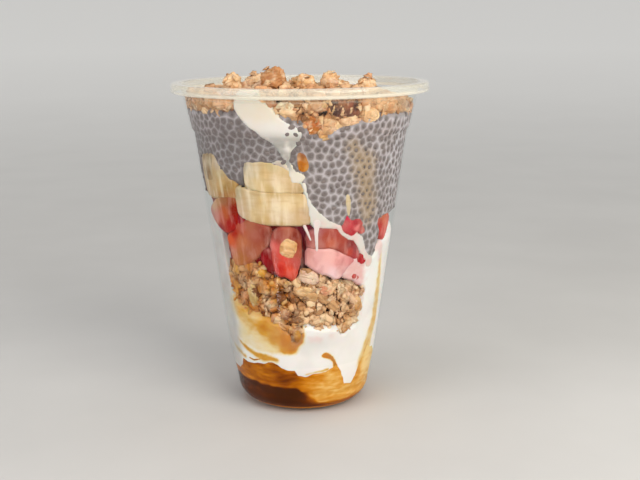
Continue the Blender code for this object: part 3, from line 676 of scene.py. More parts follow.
yogurt, (angle, height) = wall_body(
    "strained_yogurt", lambda a: round_wall(HONEY_TOP, a) - 3.0,
    lambda a: round_wall(YOGURT_TOP, a) + 2.5,
    lambda a, h: inner_radius(h) + PRESS - sunk(yogurt_inside(a, h), 0.75, 0.3), 480, 100,
)
points = read_points(yogurt)
swirl = wander(points * (1, 1, 1.6), 4.0, 14)
coverage = np.zeros(len(points))
for soft, wobble, line, touches in HONEY_PATCHES:
    inside = outline_inside(angle, height, line) + wobble * swirl
    strength = shares_of(angle, height, touches, 2.6) @ np.array([t[2] for t in touches])
    coverage = np.maximum(coverage, strength * eased(inside / soft + 0.5))
for strength, soft, wobble, line in HONEY_STREAKS:
    inside = wall_capsule(angle, height, line) + wobble * swirl
    coverage = np.maximum(coverage, strength * eased(inside / soft + 0.5))
stain = np.maximum.reduce([
    strength * eased(outline_inside(angle, height, line) / 2.4 + 0.5 + 0.4 * swirl)
    for strength, line in STAINS])
store(yogurt, "honey", np.clip(coverage + 0.06 * swirl * (coverage > 0.05), 0, 1))
store(yogurt, "stain", stain)
# Painted shade in the grey attribute: the left side, turned from the key light, and a painted shadow under
# the oats in the middle, over random tone.
painted_shadow_under_oats = np.exp(-((angle - 10) / 20) ** 2 - ((height - 29) / 5) ** 2)
store(yogurt, "grey", 0.62 * eased((-48 - angle) / 14) * eased((100 + angle) / 25)
      + 0.2 * painted_shadow_under_oats + 0.15 * wander(points, 12, 15))

# %% Strained yogurt
# Strained yogurt: satin, very pale cream, and light goes a millimetre or two into it.
strained, tree, shader = start_material(
    "strained_yogurt", {"Roughness": 0.38, "Specular IOR Level": 0.2, "Subsurface Weight": 0.25,
                        "Subsurface Scale": 2.0 * MM},
)
parts = {name: add_node(tree, "ShaderNodeAttribute", attribute_name=name).outputs["Fac"]
         for name in ("honey", "stain", "grey")}
stops = [(0.0, "#F1EAE5"), (0.12, "#EFE2CC"), (0.3, "#EAD09A"), (0.45, "#D89E38"),
         (0.6, "#C8780A"), (0.78, "#B06C14"), (0.92, "#845020")]
cream = add_node(tree, "ShaderNodeValToRGB", links={"Fac": parts["honey"]}, stops=stops).outputs["Color"]
shaded = add_node(tree, "ShaderNodeMix", {7: "#A09B93"}, {0: parts["grey"], 6: cream},
                  data_type="RGBA").outputs[2]
stained = add_node(tree, "ShaderNodeMix", {7: "#E2B1AC"}, {0: parts["stain"], 6: shaded},
                   data_type="RGBA").outputs[2]
tree.links.new(stained, shader.inputs["Base Color"])
bump = add_node(tree, "ShaderNodeBump", {"Distance": 0.12 * MM}, {"Height": speckle(tree, 1.6)})
tree.links.new(bump.outputs["Normal"], shader.inputs["Normal"])
finished(yogurt, strained, "yogurt", "yogurt")

# %% [markdown]
# A lump that lies against the plastic shows its outline and a flat, wet contact face, and its rim
# rolls away inwards. The function below makes such a piece from a closed outline on the wall. Its
# front stays flush inside the outline, and its back is rounded into the food behind it. Pieces
# that overlap get a slightly different reach, so that the nearer one lies in front.

# %% Pieces pressed on the wall
def pressed_piece(name, inside, angles, heights, reach, soft, thick, spacing=0.5, relief=None):
    """A closed lump with a flat front on the wall where inside(angle, height) is positive."""
    columns = int((angles[1] - angles[0]) * ARC / spacing) + 1
    rows = int((heights[1] - heights[0]) / spacing) + 1
    angle, height = np.meshgrid(np.linspace(*angles, columns), np.linspace(*heights, rows))
    depth = inside(angle, height)
    keep = depth > -spacing
    number = np.full(keep.shape, -1)
    number[keep] = np.arange(keep.sum())
    angle, height, depth = angle[keep], height[keep], depth[keep]
    roll = 1 - np.clip(depth / soft, 0, 1)
    shy = soft * (1 - np.sqrt(1 - roll ** 2)) + np.clip(-depth, 0, None)
    if relief:
        shy = shy + relief(wall_points(angle, inner_radius(height), height))
    back = 0.1 + thick * np.sqrt(1 - (1 - np.clip(depth / thick, 0, 1)) ** 2)
    wall = inner_radius(height) + reach - shy
    front, rear = (wall_points(angle, r, height) for r in (wall, wall - back))
    a, b, c, d = number[:-1, :-1], number[:-1, 1:], number[1:, 1:], number[1:, :-1]
    whole = np.minimum.reduce([a, b, c, d]) >= 0
    cells = np.stack([a[whole], b[whole], c[whole], d[whole]], axis=-1)
    count = len(front)
    edges = {}
    for cell in cells.tolist():
        for p, q in zip(cell, cell[1:] + cell[:1]):
            if edges.pop((q, p), None) is None:
                edges[(p, q)] = True
    quads = np.array(cells.tolist() + (cells[:, ::-1] + count).tolist()
                     + [[q, p, p + count, q + count] for p, q in edges])
    used, renamed = np.unique(quads, return_inverse=True)
    points = np.concatenate([front, rear])[used]
    return new_object(name, points, renamed.reshape(quads.shape).tolist())


def outlined_piece(name, outline, reach=PRESS, soft=2.0, thick=6.0, ripple=0.25, seed=0, **more):
    """A pressed piece whose shape is a closed outline of (angle, height) corners."""
    corners = np.array(outline)
    low, high = corners.min(axis=0) - (3, 2), corners.max(axis=0) + (3, 2)
    return pressed_piece(
        name, lambda a, h: outline_inside(a, h, outline, ripple, seed), (low[0], high[0]),
        (low[1], high[1]), reach, soft, thick, **more)


print("pressed pieces start at a reach of", PRESS, "mm")

# %% [markdown]
# A second body of yogurt is the streak that ran down inside the wall, from a broad smear at the
# top, past the nut, to the thin white border of the chia pudding. It lies nearest the plastic.

# %% Yogurt streak
STREAK = [(-23, 122.5), (-29, 119.8), (-30.5, 117.5), (-32.3, 114.6), (-31.5, 112.3),
          (-29, 109.9), (-26, 107.9), (-22, 105.8), (-18, 103.7), (-15, 102.4), (-13, 100.8),
          (-11, 98.6), (-9, 96.6), (-8, 94.6), (-6.6, 92.4), (-6, 90), (-5, 88.4), (-1, 88.3),
          (1.6, 89.4), (3.4, 91), (0, 92.4), (-3.4, 93.4), (-5, 96), (-5, 98.4), (-3.6, 100.4),
          (-1.6, 102), (0.6, 104.4), (0.8, 106.4), (-1.5, 108.2), (-5, 109.2), (-8, 110.6),
          (-12, 113.4), (-13.6, 115), (-18, 116.6), (-18.6, 119), (-20, 122.5)]
BORDER = [(1.4, 88.4, 0.9), (2.8, 84.6, 0.5), (4.6, 81.0, 0.9), (6.6, 77.8, 2.0), (9.0, 75.4, 2.9),
          (13.0, 74.0, 2.0), (18.0, 73.2, 1.1), (21.5, 72.4, 1.1), (24.6, 70.4, 1.3), (29.0, 68.6, 1.3),
          (33.5, 68.0, 1.7), (36.5, 66.4, 2.0), (39.4, 63.4, 1.8), (42.5, 60.8, 1.4), (47.0, 57.8, 2.2)]


DRIPS = [[(1.6, 73.4, 0.5), (3.0, 71.4, 0.4), (5.0, 68.4, 0.2)],
         [(8.6, 74.4, 1.2), (8.2, 70.6, 0.6), (8.8, 64.6, 0.35)]]


def streak_inside(angle, height):
    ripple = wander(wall_points(angle, 36 + 0 * angle, height), 3.5, 21)
    smear = outline_inside(angle, height, STREAK)
    return np.maximum(smear, wall_capsule(angle, height, BORDER)) + 0.3 * ripple


def drips_inside(angle, height):
    return np.maximum.reduce([wall_capsule(angle, height, line) for line in DRIPS])


streak = pressed_piece("yogurt_streak", streak_inside, (-38, 52), (53, 120.2), 0.15, 0.5, 2.4)
angle, height, points = wall_places(streak)
store(streak, "honey", 0.03 + 0.08 * eased((height - 108) / 4)
      + 0.06 * eased((height - 86) / 4) * eased((98 - height) / 6) + 0.03 * wander(points, 8, 22))
blushes = [(22, 71.5, 2.5), (30.5, 68.5, 3.0), (41.5, 60, 2.5), (45.5, 57.4, 3.0), (10, 73, 2.0)]
store(streak, "stain", np.max([0.8 * np.exp(-(((angle - a) * ARC) ** 2 + (height - h) ** 2) / r ** 2)
                               for a, h, r in blushes], axis=0) * eased(0.8 + wander(points, 3, 23)))
low_streak = 0.7 * eased((107.5 - height) / 6) * eased((height - 91.5) / 4)
store(streak, "grey", 0.15 + 0.11 * eased((110 - height) / 5) + 0.14 * eased((87 - height) / 3)
      + low_streak * eased(0.9 + 0.8 * wander(points, 4, 24)))
finished(streak, strained, "yogurt", "yogurt_ribbon")
drips = pressed_piece("yogurt_drips", drips_inside, (-2, 12), (62, 77), 0.28, 0.12, 1.2, spacing=0.22)
for name, share in (("honey", 0.0), ("stain", 0.3), ("grey", 0.25)):
    store(drips, name, np.full(len(drips.data.vertices), share))
finished(drips, strained, "yogurt")

# %% [markdown]
# ## Chia pudding
# Soaked chia seeds are dark ovals of about 2 mm, each in its own clear gel, and the milk between
# them shows as a pale net. We scatter seed places evenly on the wall, then build two things from
# the same places: the pudding's body, whose attributes say how near each point is to a seed and
# to the line between two seeds, and the seeds themselves, which Geometry Nodes put in place.

# %% Seed places
SEED_SPACING = 3.05
rng = np.random.default_rng(7)


def even_places(angles, heights, spacing, wanted, jitter=0.36):
    """Places on the wall, as (angle, height), in shifted rows with a random offset each."""
    column, row = spacing * 0.93 / (38.0 * math.radians(1)), spacing * 0.80
    found = []
    for j, h in enumerate(np.arange(*heights, row)):
        offset = column / 2 if j % 2 else 0
        for a in np.arange(*angles, column):
            moved = rng.uniform(-jitter, jitter, 2) * (column, row)
            found.append((a + offset + moved[0], h + moved[1]))
    found = np.array(found)
    return found[wanted(found[:, 0], found[:, 1])]


def chia_inside(angle, height):
    ripple = wander(wall_points(angle, 37 + 0 * angle, height), 4, 31)
    low = edge_distance(angle, height, CHIA_FOOT)
    high = -edge_distance(angle, height, CHIA_TOP)
    return np.minimum(low, high) + 0.4 * ripple


seed_places = even_places((-180, 180), (56, 113), SEED_SPACING,
                          lambda a, h: chia_inside(a, h) > -0.7)
seed_spots = wall_points(seed_places[:, 0], inner_radius(seed_places[:, 1]), seed_places[:, 1])
print("chia seeds on the wall:", len(seed_spots))

# %% Pudding body
chia, (angle, height) = wall_body(
    "chia_pudding_milk", lambda a: round_wall(CHIA_FOOT, a) - 2.5,
    lambda a: round_wall(CHIA_TOP, a) + 2.0,
    lambda a, h: inner_radius(h) - 0.02 - sunk(chia_inside(a, h), 0.8, 0.3), 660, 92,
)
tree_of_seeds = KDTree(len(seed_spots))
for number, spot in enumerate(seed_spots):
    tree_of_seeds.insert(spot, number)
tree_of_seeds.balance()
points = read_points(chia)
nearest = np.array([[hit[2] for hit in tree_of_seeds.find_n(p, 2)] for p in points])
net = nearest[:, 1] - nearest[:, 0]
patches = wander(points, 11, 40)
store(chia, "net", np.exp(-(net / 0.62) ** 1.5) * eased(chia_inside(angle, height) + 0.5))
store(chia, "halo", np.exp(-(nearest[:, 0] / 1.2) ** 4))
# Painted light: the milk value rises towards the right front, which faces the key light, and falls towards
# the back.
store(chia, "milk_and_painted_light", np.clip(
    0.22 + 0.46 * eased((angle + 8) / 26) + 0.28 * eased((angle - 45) / 25)
    - 0.42 * eased((angle - 100) / 60) + 0.22 * patches
    + 0.5 * np.exp(-((round_wall(CHIA_TOP, angle) - points[:, 2]) / 1.2) ** 2), 0, 1))
BANANA_BEHIND = [(27, 101, 2.0), (33, 96, 3.4), (38, 87, 4.2), (41, 79, 3.8), (42, 74, 2.4)]
TINTS = [BANANA_BEHIND, [(-118, 96, 4.0), (-118, 86, 3.0)], [(150, 92, 4.0), (156, 82, 3.0)]]
behind = np.maximum.reduce([wall_capsule(angle, height, line) for line in TINTS])
store(chia, "banana", eased(behind / 6.0 + 0.5 + 0.35 * patches))

# %% Chia pudding
# Chia pudding: milk thickened by the seeds' gel, so it is satin and a little see-through, grey
# where seeds crowd behind the surface and lilac white where milk collects. Its milk ramp also
# paints light: paler towards the right front, where the key light falls, and darker towards the back.
pudding, tree, shader = start_material(
    "chia_pudding", {"Roughness": 0.36, "Specular IOR Level": 0.12, "Subsurface Weight": 0.06,
                     "Subsurface Scale": 0.6 * MM},
)
parts = {name: add_node(tree, "ShaderNodeAttribute", attribute_name=name).outputs["Fac"]
         for name in ("net", "halo", "milk_and_painted_light", "banana")}
gel = add_node(tree, "ShaderNodeValToRGB", links={"Fac": parts["milk_and_painted_light"]},
               stops=[(0.0, "#6C6461"), (0.5, "#8B7F7C"), (1.0, "#A39A9B")]).outputs["Color"]
white = add_node(tree, "ShaderNodeValToRGB", links={"Fac": parts["milk_and_painted_light"]},
                 stops=[(0.0, "#938D8C"), (0.5, "#B9AFAF"), (1.0, "#CDC5CA")]).outputs["Color"]
netted = add_node(tree, "ShaderNodeMix", links={0: parts["net"], 6: gel, 7: white},
                  data_type="RGBA").outputs[2]
tanned = tinted(tree, netted, [
    (parts["halo"], 0, 1, 0.8, "#6E6360"),
    (parts["banana"], 0, 1, 0.6, "#A88B62")])
tree.links.new(tanned, shader.inputs["Base Color"])
bump = add_node(tree, "ShaderNodeBump", {"Distance": 0.05 * MM}, {"Height": speckle(tree, 1.0, 4)})
tree.links.new(bump.outputs["Normal"], shader.inputs["Normal"])
finished(chia, pudding, "chia_pudding", "chia_pudding")

# %% [markdown]
# Each seed is a small smooth oval with a few dozen faces. Geometry Nodes copy it to every seed
# place, spin it about the wall's normal, and change its size a little, from one fixed seed value.
# The same small tree is used again below for oats and crumbs, so we write it once. It takes a
# collection of shapes and picks one of them for each place.

# %% A scattering tree
def scatter_tree():
    """Geometry Nodes: copies shapes from a collection to points, turned and sized by chance."""
    group = bpy.data.node_groups.new("scatter_pieces", "GeometryNodeTree")
    face = group.interface
    face.new_socket("Points", in_out="INPUT", socket_type="NodeSocketGeometry")
    face.new_socket("Shapes", in_out="INPUT", socket_type="NodeSocketCollection")
    for name, value in (("Smallest", 0.8), ("Largest", 1.2), ("Lean", 0.4), ("Spin", math.pi)):
        face.new_socket(name, in_out="INPUT", socket_type="NodeSocketFloat").default_value = value
    face.new_socket("Chance", in_out="INPUT", socket_type="NodeSocketInt")
    face.new_socket("Finish", in_out="INPUT", socket_type="NodeSocketMaterial")
    face.new_socket("Pieces", in_out="OUTPUT", socket_type="NodeSocketGeometry")
    given = add_node(group, "NodeGroupInput").outputs
    shapes = add_node(
        group, "GeometryNodeCollectionInfo", {"Separate Children": True, "Reset Children": True},
        {"Collection": given["Shapes"]},
    )
    facing = add_node(group, "GeometryNodeInputNamedAttribute", {"Name": "facing"},
                      data_type="FLOAT_VECTOR")
    upright = add_node(
        group, "FunctionNodeAlignRotationToVector", links={"Vector": facing.outputs["Attribute"]},
        axis="Z",
    )
    lean_low, spin_low = (
        add_node(group, "ShaderNodeMath", {1: -1.0}, {0: given[name]}, operation="MULTIPLY")
        for name in ("Lean", "Spin"))
    low = add_node(group, "ShaderNodeCombineXYZ", links={
        "X": lean_low.outputs[0], "Y": lean_low.outputs[0], "Z": spin_low.outputs[0]})
    high = add_node(group, "ShaderNodeCombineXYZ", links={
        "X": given["Lean"], "Y": given["Lean"], "Z": given["Spin"]})
    turn = add_node(group, "FunctionNodeRandomValue", data_type="FLOAT_VECTOR", links={
        0: low.outputs[0], 1: high.outputs[0], "Seed": given["Chance"]})
    own = add_node(group, "FunctionNodeEulerToRotation", links={"Euler": turn.outputs[0]})
    rotation = add_node(group, "FunctionNodeRotateRotation", rotation_space="LOCAL",
                        links={"Rotation": upright.outputs[0], "Rotate By": own.outputs[0]})
    size = add_node(group, "FunctionNodeRandomValue", data_type="FLOAT", links={
        2: given["Smallest"], 3: given["Largest"], "Seed": given["Chance"]})
    bigness = add_node(group, "GeometryNodeInputNamedAttribute", {"Name": "size"},
                       data_type="FLOAT")
    sized = add_node(group, "ShaderNodeMath", operation="MULTIPLY", links={
        0: size.outputs[1], 1: bigness.outputs["Attribute"]})
    copies = add_node(
        group, "GeometryNodeInstanceOnPoints", {"Pick Instance": True},
        {"Points": given["Points"], "Instance": shapes.outputs[0], "Rotation": rotation.outputs[0],
         "Scale": sized.outputs[0]},
    )
    shade = add_node(group, "FunctionNodeRandomValue", data_type="FLOAT",
                     links={"Seed": given["Chance"]})
    kept = add_node(group, "GeometryNodeStoreNamedAttribute", {"Name": "shade"}, data_type="FLOAT",
                    domain="INSTANCE", links={"Geometry": copies.outputs[0],
                                              "Value": shade.outputs[1]})
    whole = add_node(group, "GeometryNodeRealizeInstances", links={"Geometry": kept.outputs[0]})
    painted = add_node(group, "GeometryNodeSetMaterial",
                       links={"Geometry": whole.outputs[0], "Material": given["Finish"]})
    add_node(group, "NodeGroupOutput", links={"Pieces": painted.outputs[0]})
    return group


SCATTER = scatter_tree()


def shape_library(name, shapes):
    """A collection of shapes that isn't part of the scene itself."""
    library = bpy.data.collections.new(name)
    for shape in shapes:
        bpy.context.scene.collection.objects.unlink(shape)
        library.objects.link(shape)
    return library


def scattered(name, spots, facing, sizes, library, finish, chance, **inputs):
    """Runs the scattering tree on places and returns the copies as one plain mesh."""
    carrier = new_object(name + "_places", spots, [])
    way = carrier.data.attributes.new("facing", "FLOAT_VECTOR", "POINT")
    way.data.foreach_set("vector", np.asarray(facing, dtype=np.float32).ravel())
    store(carrier, "size", sizes)
    modifier = carrier.modifiers.new("scatter", "NODES")
    modifier.node_group = SCATTER
    inputs = {"Shapes": library, "Finish": finish, "Chance": chance, **inputs}
    for item in SCATTER.interface.items_tree:
        if item.in_out == "INPUT" and item.name in inputs:
            modifier[item.identifier] = inputs[item.name]
    bpy.context.view_layer.update()
    evaluated = carrier.evaluated_get(bpy.context.evaluated_depsgraph_get())
    mesh = bpy.data.meshes.new_from_object(evaluated)
    mesh.name = name
    carrier.modifiers.remove(modifier)
    bpy.data.objects.remove(carrier)
    thing = bpy.data.objects.new(name, mesh)
    bpy.context.scene.collection.objects.link(thing)
    print(f"{name}: {len(spots)} pieces, {len(mesh.polygons)} faces")
    return thing


print("tree:", SCATTER.name, "with", len(SCATTER.nodes), "nodes")

# %% Chia seeds
def round_shape(name, half, rings, sides, wave=0.0, seed=0):
    """A small closed oval whose halves are (x, y, z) millimetres, with a wavy surface."""
    points = [(0, 0, -1.0)]
    for i in range(1, rings):
        up = -math.cos(math.pi * i / rings)
        for k in range(sides):
            turn = 2 * math.pi * k / sides
            reach = math.sqrt(1 - up * up)
            points.append((reach * math.cos(turn), reach * math.sin(turn), up))
    points.append((0, 0, 1.0))
    points = np.array(points)
    if wave:
        points *= 1 + wave * wander(points, 0.9, seed)[:, None]
    last = len(points) - 1
    faces = fan(0, 1, sides) + bands(1, rings - 1, sides) + fan(last, last - sides, sides)
    return new_object(name, points * half, faces)


seed_shapes = [round_shape(f"seed_{i}", (0.92 + 0.08 * i, 0.74, 0.46), 5, 9, 0.05, i)
               for i in range(3)]
seed_library = shape_library("seed_shapes", seed_shapes)
outward = wall_points(seed_places[:, 0], 1.0 + 0 * seed_places[:, 0], 0.13)
wall_depth = inner_radius(seed_places[:, 1]) - 0.34 + rng.uniform(-0.10, 0.06, len(seed_places))
spots = wall_points(seed_places[:, 0], wall_depth, seed_places[:, 1])
crowding = 0.92 + 0.14 * wander(spots, 6, 50) + 0.08 * eased((seed_places[:, 0] + 8) / 20)

# A soaked chia seed: a dark speckled coat seen through its clear gel, so it is glossy.
seed_coat, tree, shader = start_material(
    "soaked_seed_coat", {"Roughness": 0.28, "Specular IOR Level": 0.15},
)
shade = add_node(tree, "ShaderNodeAttribute", attribute_name="shade").outputs["Fac"]
dark = add_node(tree, "ShaderNodeValToRGB", links={"Fac": shade},
                stops=[(0.0, "#4A4241"), (0.4, "#625856"), (0.8, "#756966"),
                       (1.0, "#857770")]).outputs["Color"]
mottled = add_node(tree, "ShaderNodeMix", {7: "#7A6F6C"}, {0: speckle(tree, 0.7, 4), 6: dark},
                   data_type="RGBA").outputs[2]
tree.links.new(mottled, shader.inputs["Base Color"])
seeds = scattered("chia_seeds", spots, outward, crowding, seed_library, seed_coat, 3,
                  Smallest=0.80, Largest=1.18, Lean=0.16)
pressed(seeds, 2 * PRESS)
finished(seeds, seed_coat, "chia_pudding")
loose = np.array(
    [(-6.4, 105.7), (-4.2, 108.2), (-2.4, 105.6), (-0.4, 107.4), (-1.4, 102.6), (-8.6, 96.2),
     (-4.6, 96.8), (-3.4, 99.4)])
spots = wall_points(loose[:, 0], inner_radius(loose[:, 1]) - 0.2, loose[:, 1])
stray_seeds = scattered("chia_seeds_in_the_streak", spots, wall_points(loose[:, 0], 1.0, 0.0),
                        np.ones(len(loose)), seed_library, seed_coat, 5, Smallest=1.05,
                        Largest=1.4, Lean=0.1)
pressed(stray_seeds, 7 * PRESS)
finished(stray_seeds, seed_coat, "chia_pudding")

# %% [markdown]
# ## Painting a piece
# Fruit and baked oats change colour over a few millimetres: a berry goes from red skin to pale
# flesh, a cluster from toasted to floury. A few touches of colour, each at its own place on the
# wall, are blended smoothly over a piece and kept as an attribute. The material then adds the
# fine grain, so that no large area is one flat tone.

# %% Touches of colour
def keep_colours(thing, name, colours):
    """Keeps one linear colour for each vertex, for a material to read."""
    attribute = thing.data.attributes.new(name, "FLOAT_COLOR", "POINT")
    attribute.data.foreach_set("color", np.asarray(colours, dtype=np.float32).ravel())


def paint(thing, touches, soft=1.3, ripple=0.5, seed=0):
    """Blends (wall angle, height, colour) touches over a piece, as the attribute tint."""
    angle, height, points = wall_places(thing)
    angle = angle + ripple * wander(points, 2.5, seed) / ARC
    height = height + ripple * wander(points, 2.5, seed + 1)
    colours = np.array([hex_colour(touch[2]) for touch in touches])
    keep_colours(thing, "tint", shares_of(angle, height, touches, soft) @ colours)


def toned(values, stops):
    """Linear colours read from (position, hex colour) stops at each value."""
    where = [position for position, _ in stops]
    colours = np.array([hex_colour(colour) for _, colour in stops])
    return np.stack([np.interp(values, where, colours[:, k]) for k in range(4)], axis=-1)


print("middle of red and white:", toned(np.array([0.5]), [(0, "#FF0000"), (1, "#FFFFFF")])[0, :3])

# %% [markdown]
# ## Granola
# Granola is rolled oats baked with honey until they stick in clusters, with crumbs between. A
# rolled oat is a thin oval of 5 to 8 mm with a crease along it, bran lines beside the crease and
# a curled, cracked edge. We model a few different flakes and crumbs, then scatter them over a
# smaller core painted near-black brown as shade, so that the gaps between them are real gaps
# with that painted shade at their bottom.

# %% Oat flakes
def oat_flake(name, long, wide, thick, curl, groove, seed):
    """A rolled oat: a creased, curled oval whose underside is one plain fan."""
    sides, rings = 13, 3
    turns = np.arange(sides) * 2 * math.pi / sides
    shares = [0.42, 0.8, 1.0]
    flat = np.concatenate([[(0, 0)]] + [
        np.stack([long * share * np.cos(turns), wide * share * np.sin(turns)], axis=-1)
        for share in shares])
    away = np.concatenate([[0]] + [np.full(sides, share) for share in shares])
    spot = np.concatenate([flat, np.zeros((len(flat), 1))], axis=-1)
    ragged = 1 + 0.26 * wander(spot, 1.5, seed + 9) * (away > 0.5)
    flat = flat * ragged[:, None]
    bend = curl * (flat[:, 1] / wide) ** 2 - 0.5 * curl * (flat[:, 0] / long) ** 2
    bend = bend + 0.35 * wander(spot, 2.2, seed)
    half = thick * (1 - 0.9 * away ** 3) * (1 + 0.6 * wander(spot, 1.4, seed + 5))
    crease = groove * thick * np.exp(-(flat[:, 1] / (0.2 * wide)) ** 2) * (away < 0.9)
    top = np.stack([flat[:, 0], flat[:, 1], bend + half - crease], axis=-1)
    under = [(0, 0, bend[0] - thick)]
    last = len(top)
    faces = fan(0, 1, sides) + bands(1, rings, sides) + fan(last, last - sides, sides)
    flake = new_object(name, np.concatenate([top, under]), faces)
    store(flake, "across", np.append(flat[:, 1] / wide, 0))
    store(flake, "along", np.append(flat[:, 0] / long, 0))
    store(flake, "rim", np.append(away, 0.5))
    return flake


flakes = [oat_flake(f"flake_{k}", *sizes, k) for k, sizes in enumerate([
    # half length, half width, thickness, curl, depth of the crease
    (2.7, 2.1, 0.6, 0.7, 0.6), (2.3, 1.9, 0.8, -0.5, 0.0), (3.0, 2.1, 0.6, 0.9, 0.5),
    (2.0, 1.7, 0.9, 0.4, 0.0), (2.6, 2.2, 0.7, -0.9, 0.2), (1.7, 1.3, 0.8, 0.5, 0.0)])]
flake_library = shape_library("oat_flake_shapes", flakes)
crumbs = [round_shape(f"crumb_{i}", (1.15, 0.85, 0.6), 5, 8, 0.55, 20 + i) for i in range(5)]
for crumb in crumbs:
    for name, value in (("across", 0.5), ("along", 0.3), ("rim", 0.4)):
        store(crumb, name, np.full(len(crumb.data.vertices), value))
crumb_library = shape_library("crumb_shapes", crumbs)
FLAKE_CORNERS, CRUMB_CORNERS = len(flakes[0].data.vertices), len(crumbs[0].data.vertices)
print("faces in one flake:", len(flakes[0].data.polygons), "and in one crumb:",
      len(crumbs[0].data.polygons))

# %% Baked oats
# Baked oats: dry and floury where pale, darker and a little glossy where the honey ran. Each
# flake has its own shade; the crease and the bran lines follow its length. The crease is painted
# darker, with paler ridges beside it, as painted shade and light of the groove.
baked_oats, tree, shader = start_material(
    "baked_oats", {"Roughness": 0.42, "IOR": 1.45, "Specular IOR Level": 0.25,
                   "Subsurface Weight": 0.06, "Subsurface Scale": 0.8 * MM},
)
parts = {name: add_node(tree, "ShaderNodeAttribute", attribute_name=name).outputs["Fac"]
         for name in ("shade", "honey", "across", "along", "rim")}
dry = add_node(tree, "ShaderNodeValToRGB", links={"Fac": parts["shade"]}, stops=[(0.0, "#B9875A"),
    (0.3, "#D8A674"), (0.6, "#EABF94"), (0.85, "#F6D8B2"), (1.0, "#E0AC8A")]).outputs["Color"]
floury = tinted(tree, dry, [(speckle(tree, 2.2, 5), 0.5, 0.66, 0.6, "#F8E0BC")])
sticky = add_node(tree, "ShaderNodeValToRGB", links={"Fac": parts["shade"]}, stops=[(0.0, "#5E2A00"),
    (0.3, "#985000"), (0.6, "#BE6E0A"), (0.85, "#DCA24A"), (1.0, "#CA7400")]).outputs["Color"]
toasted = add_node(tree, "ShaderNodeMix", links={0: parts["honey"], 6: floury, 7: sticky},
                   data_type="RGBA").outputs[2]
lengthwise = add_node(tree, "ShaderNodeCombineXYZ", links={
    "X": parts["across"], "Y": parts["along"], "Z": parts["shade"]})
stretched = add_node(tree, "ShaderNodeMapping", {"Scale": (3.4, 0.9, 30.0)},
                     {"Vector": lengthwise.outputs["Vector"]})
bran = add_node(tree, "ShaderNodeTexNoise", {"Scale": 1.0, "Detail": 2.0},
                {"Vector": stretched.outputs["Vector"]}).outputs["Fac"]
off_crease = add_node(tree, "ShaderNodeMath", operation="ABSOLUTE", links={0: parts["across"]})
shaped = add_node(tree, "ShaderNodeValToRGB", links={"Fac": off_crease.outputs[0]}, stops=[(0.0, "#707070"),
    (0.1, "#8C8C8C"), (0.24, "#FFFFFF"), (1.0, "#C0C0C0")]).outputs["Color"]
relief = add_node(tree, "ShaderNodeMath", operation="MULTIPLY", links={0: shaped, 1: bran})
# Painted shade in the creases, over the bran lines, toasted rims and random flecks.
burnt_bran_and_crease_shade = tinted(tree, toasted, [
    (relief.outputs[0], 0.4, 0.12, 0.3, "#82522A"),
    (parts["rim"], 0.8, 1.05, 0.15, "#7A4820"),
    (speckle(tree, 1.3, 5), 0.5, 0.32, 0.5, "#7E4A20")])
tree.links.new(burnt_bran_and_crease_shade, shader.inputs["Base Color"])
uneven = add_node(tree, "ShaderNodeMath", operation="MULTIPLY", links={
    0: relief.outputs[0], 1: speckle(tree, 1.7, 4)})
bump = add_node(tree, "ShaderNodeBump", {"Distance": 0.9 * MM}, {"Height": uneven.outputs[0]})
tree.links.new(bump.outputs["Normal"], shader.inputs["Normal"])
# Painted shade: the cores under the oats are a near-black brown, the dark of the gaps between them.
painted_shade_core, tree, shader = start_material(
    "granola_shade", {"Roughness": 0.7, "Specular IOR Level": 0.1})
inner = add_node(tree, "ShaderNodeValToRGB", links={"Fac": speckle(tree, 2.0, 5)},
                 stops=[(0.35, "#24150C"), (0.7, "#6A4626")]).outputs["Color"]
tree.links.new(inner, shader.inputs["Base Color"])
bump = add_node(tree, "ShaderNodeBump", {"Distance": 0.5 * MM}, {"Height": speckle(tree, 1.2, 4)})
tree.links.new(bump.outputs["Normal"], shader.inputs["Normal"])

# A baked cluster is many oats stuck together: floury knobs with dark cracks between them, and the
# dark in the cracks is painted shade.
cluster_crust, tree, shader = start_material(
    "baked_cluster_crust", {"Roughness": 0.5, "IOR": 1.45, "Specular IOR Level": 0.35,
                            "Subsurface Weight": 0.08, "Subsurface Scale": 0.8 * MM},
)
tint = add_node(tree, "ShaderNodeAttribute", attribute_name="tint").outputs["Color"]
folds = speckle(tree, 3.6, 2.0, (1, 1, 1.7))
cracks = add_node(tree, "ShaderNodeValToRGB", links={"Fac": folds}, stops=[(0.4, "#FFFFFF"),
    (0.455, "#202020"), (0.49, "#FFFFFF"), (0.56, "#D0D0D0"), (0.585, "#404040"),
    (0.62, "#FFFFFF")]).outputs["Color"]
toasty_with_crack_shade = tinted(tree, tint, [
    (cracks, 0.9, 0.1, 0.22, "#8A5426"),
    (speckle(tree, 1.3, 5), 0.5, 0.7, 0.55, "#F4DCB8"),
    (speckle(tree, 1.9, 5), 0.5, 0.32, 0.4, "#B07238")])
tree.links.new(toasty_with_crack_shade, shader.inputs["Base Color"])
crack_relief = tinted(tree, cracks, [(speckle(tree, 1.4, 4), 0, 1, 0.7, "#000000")])
bump = add_node(tree, "ShaderNodeBump", {"Distance": 0.3 * MM}, {"Height": crack_relief})
tree.links.new(bump.outputs["Normal"], shader.inputs["Normal"])

# %% [markdown]
# The lower granola is a band against the wall, widest at the front, and one tongue of it hangs
# into the yogurt below. Its core is a little smaller than the band and stays off the plastic.
# Flakes stand on the core at every lean, mostly facing out, and whatever passes the plastic is
# pressed flat on it. On the left they have soaked up honey.

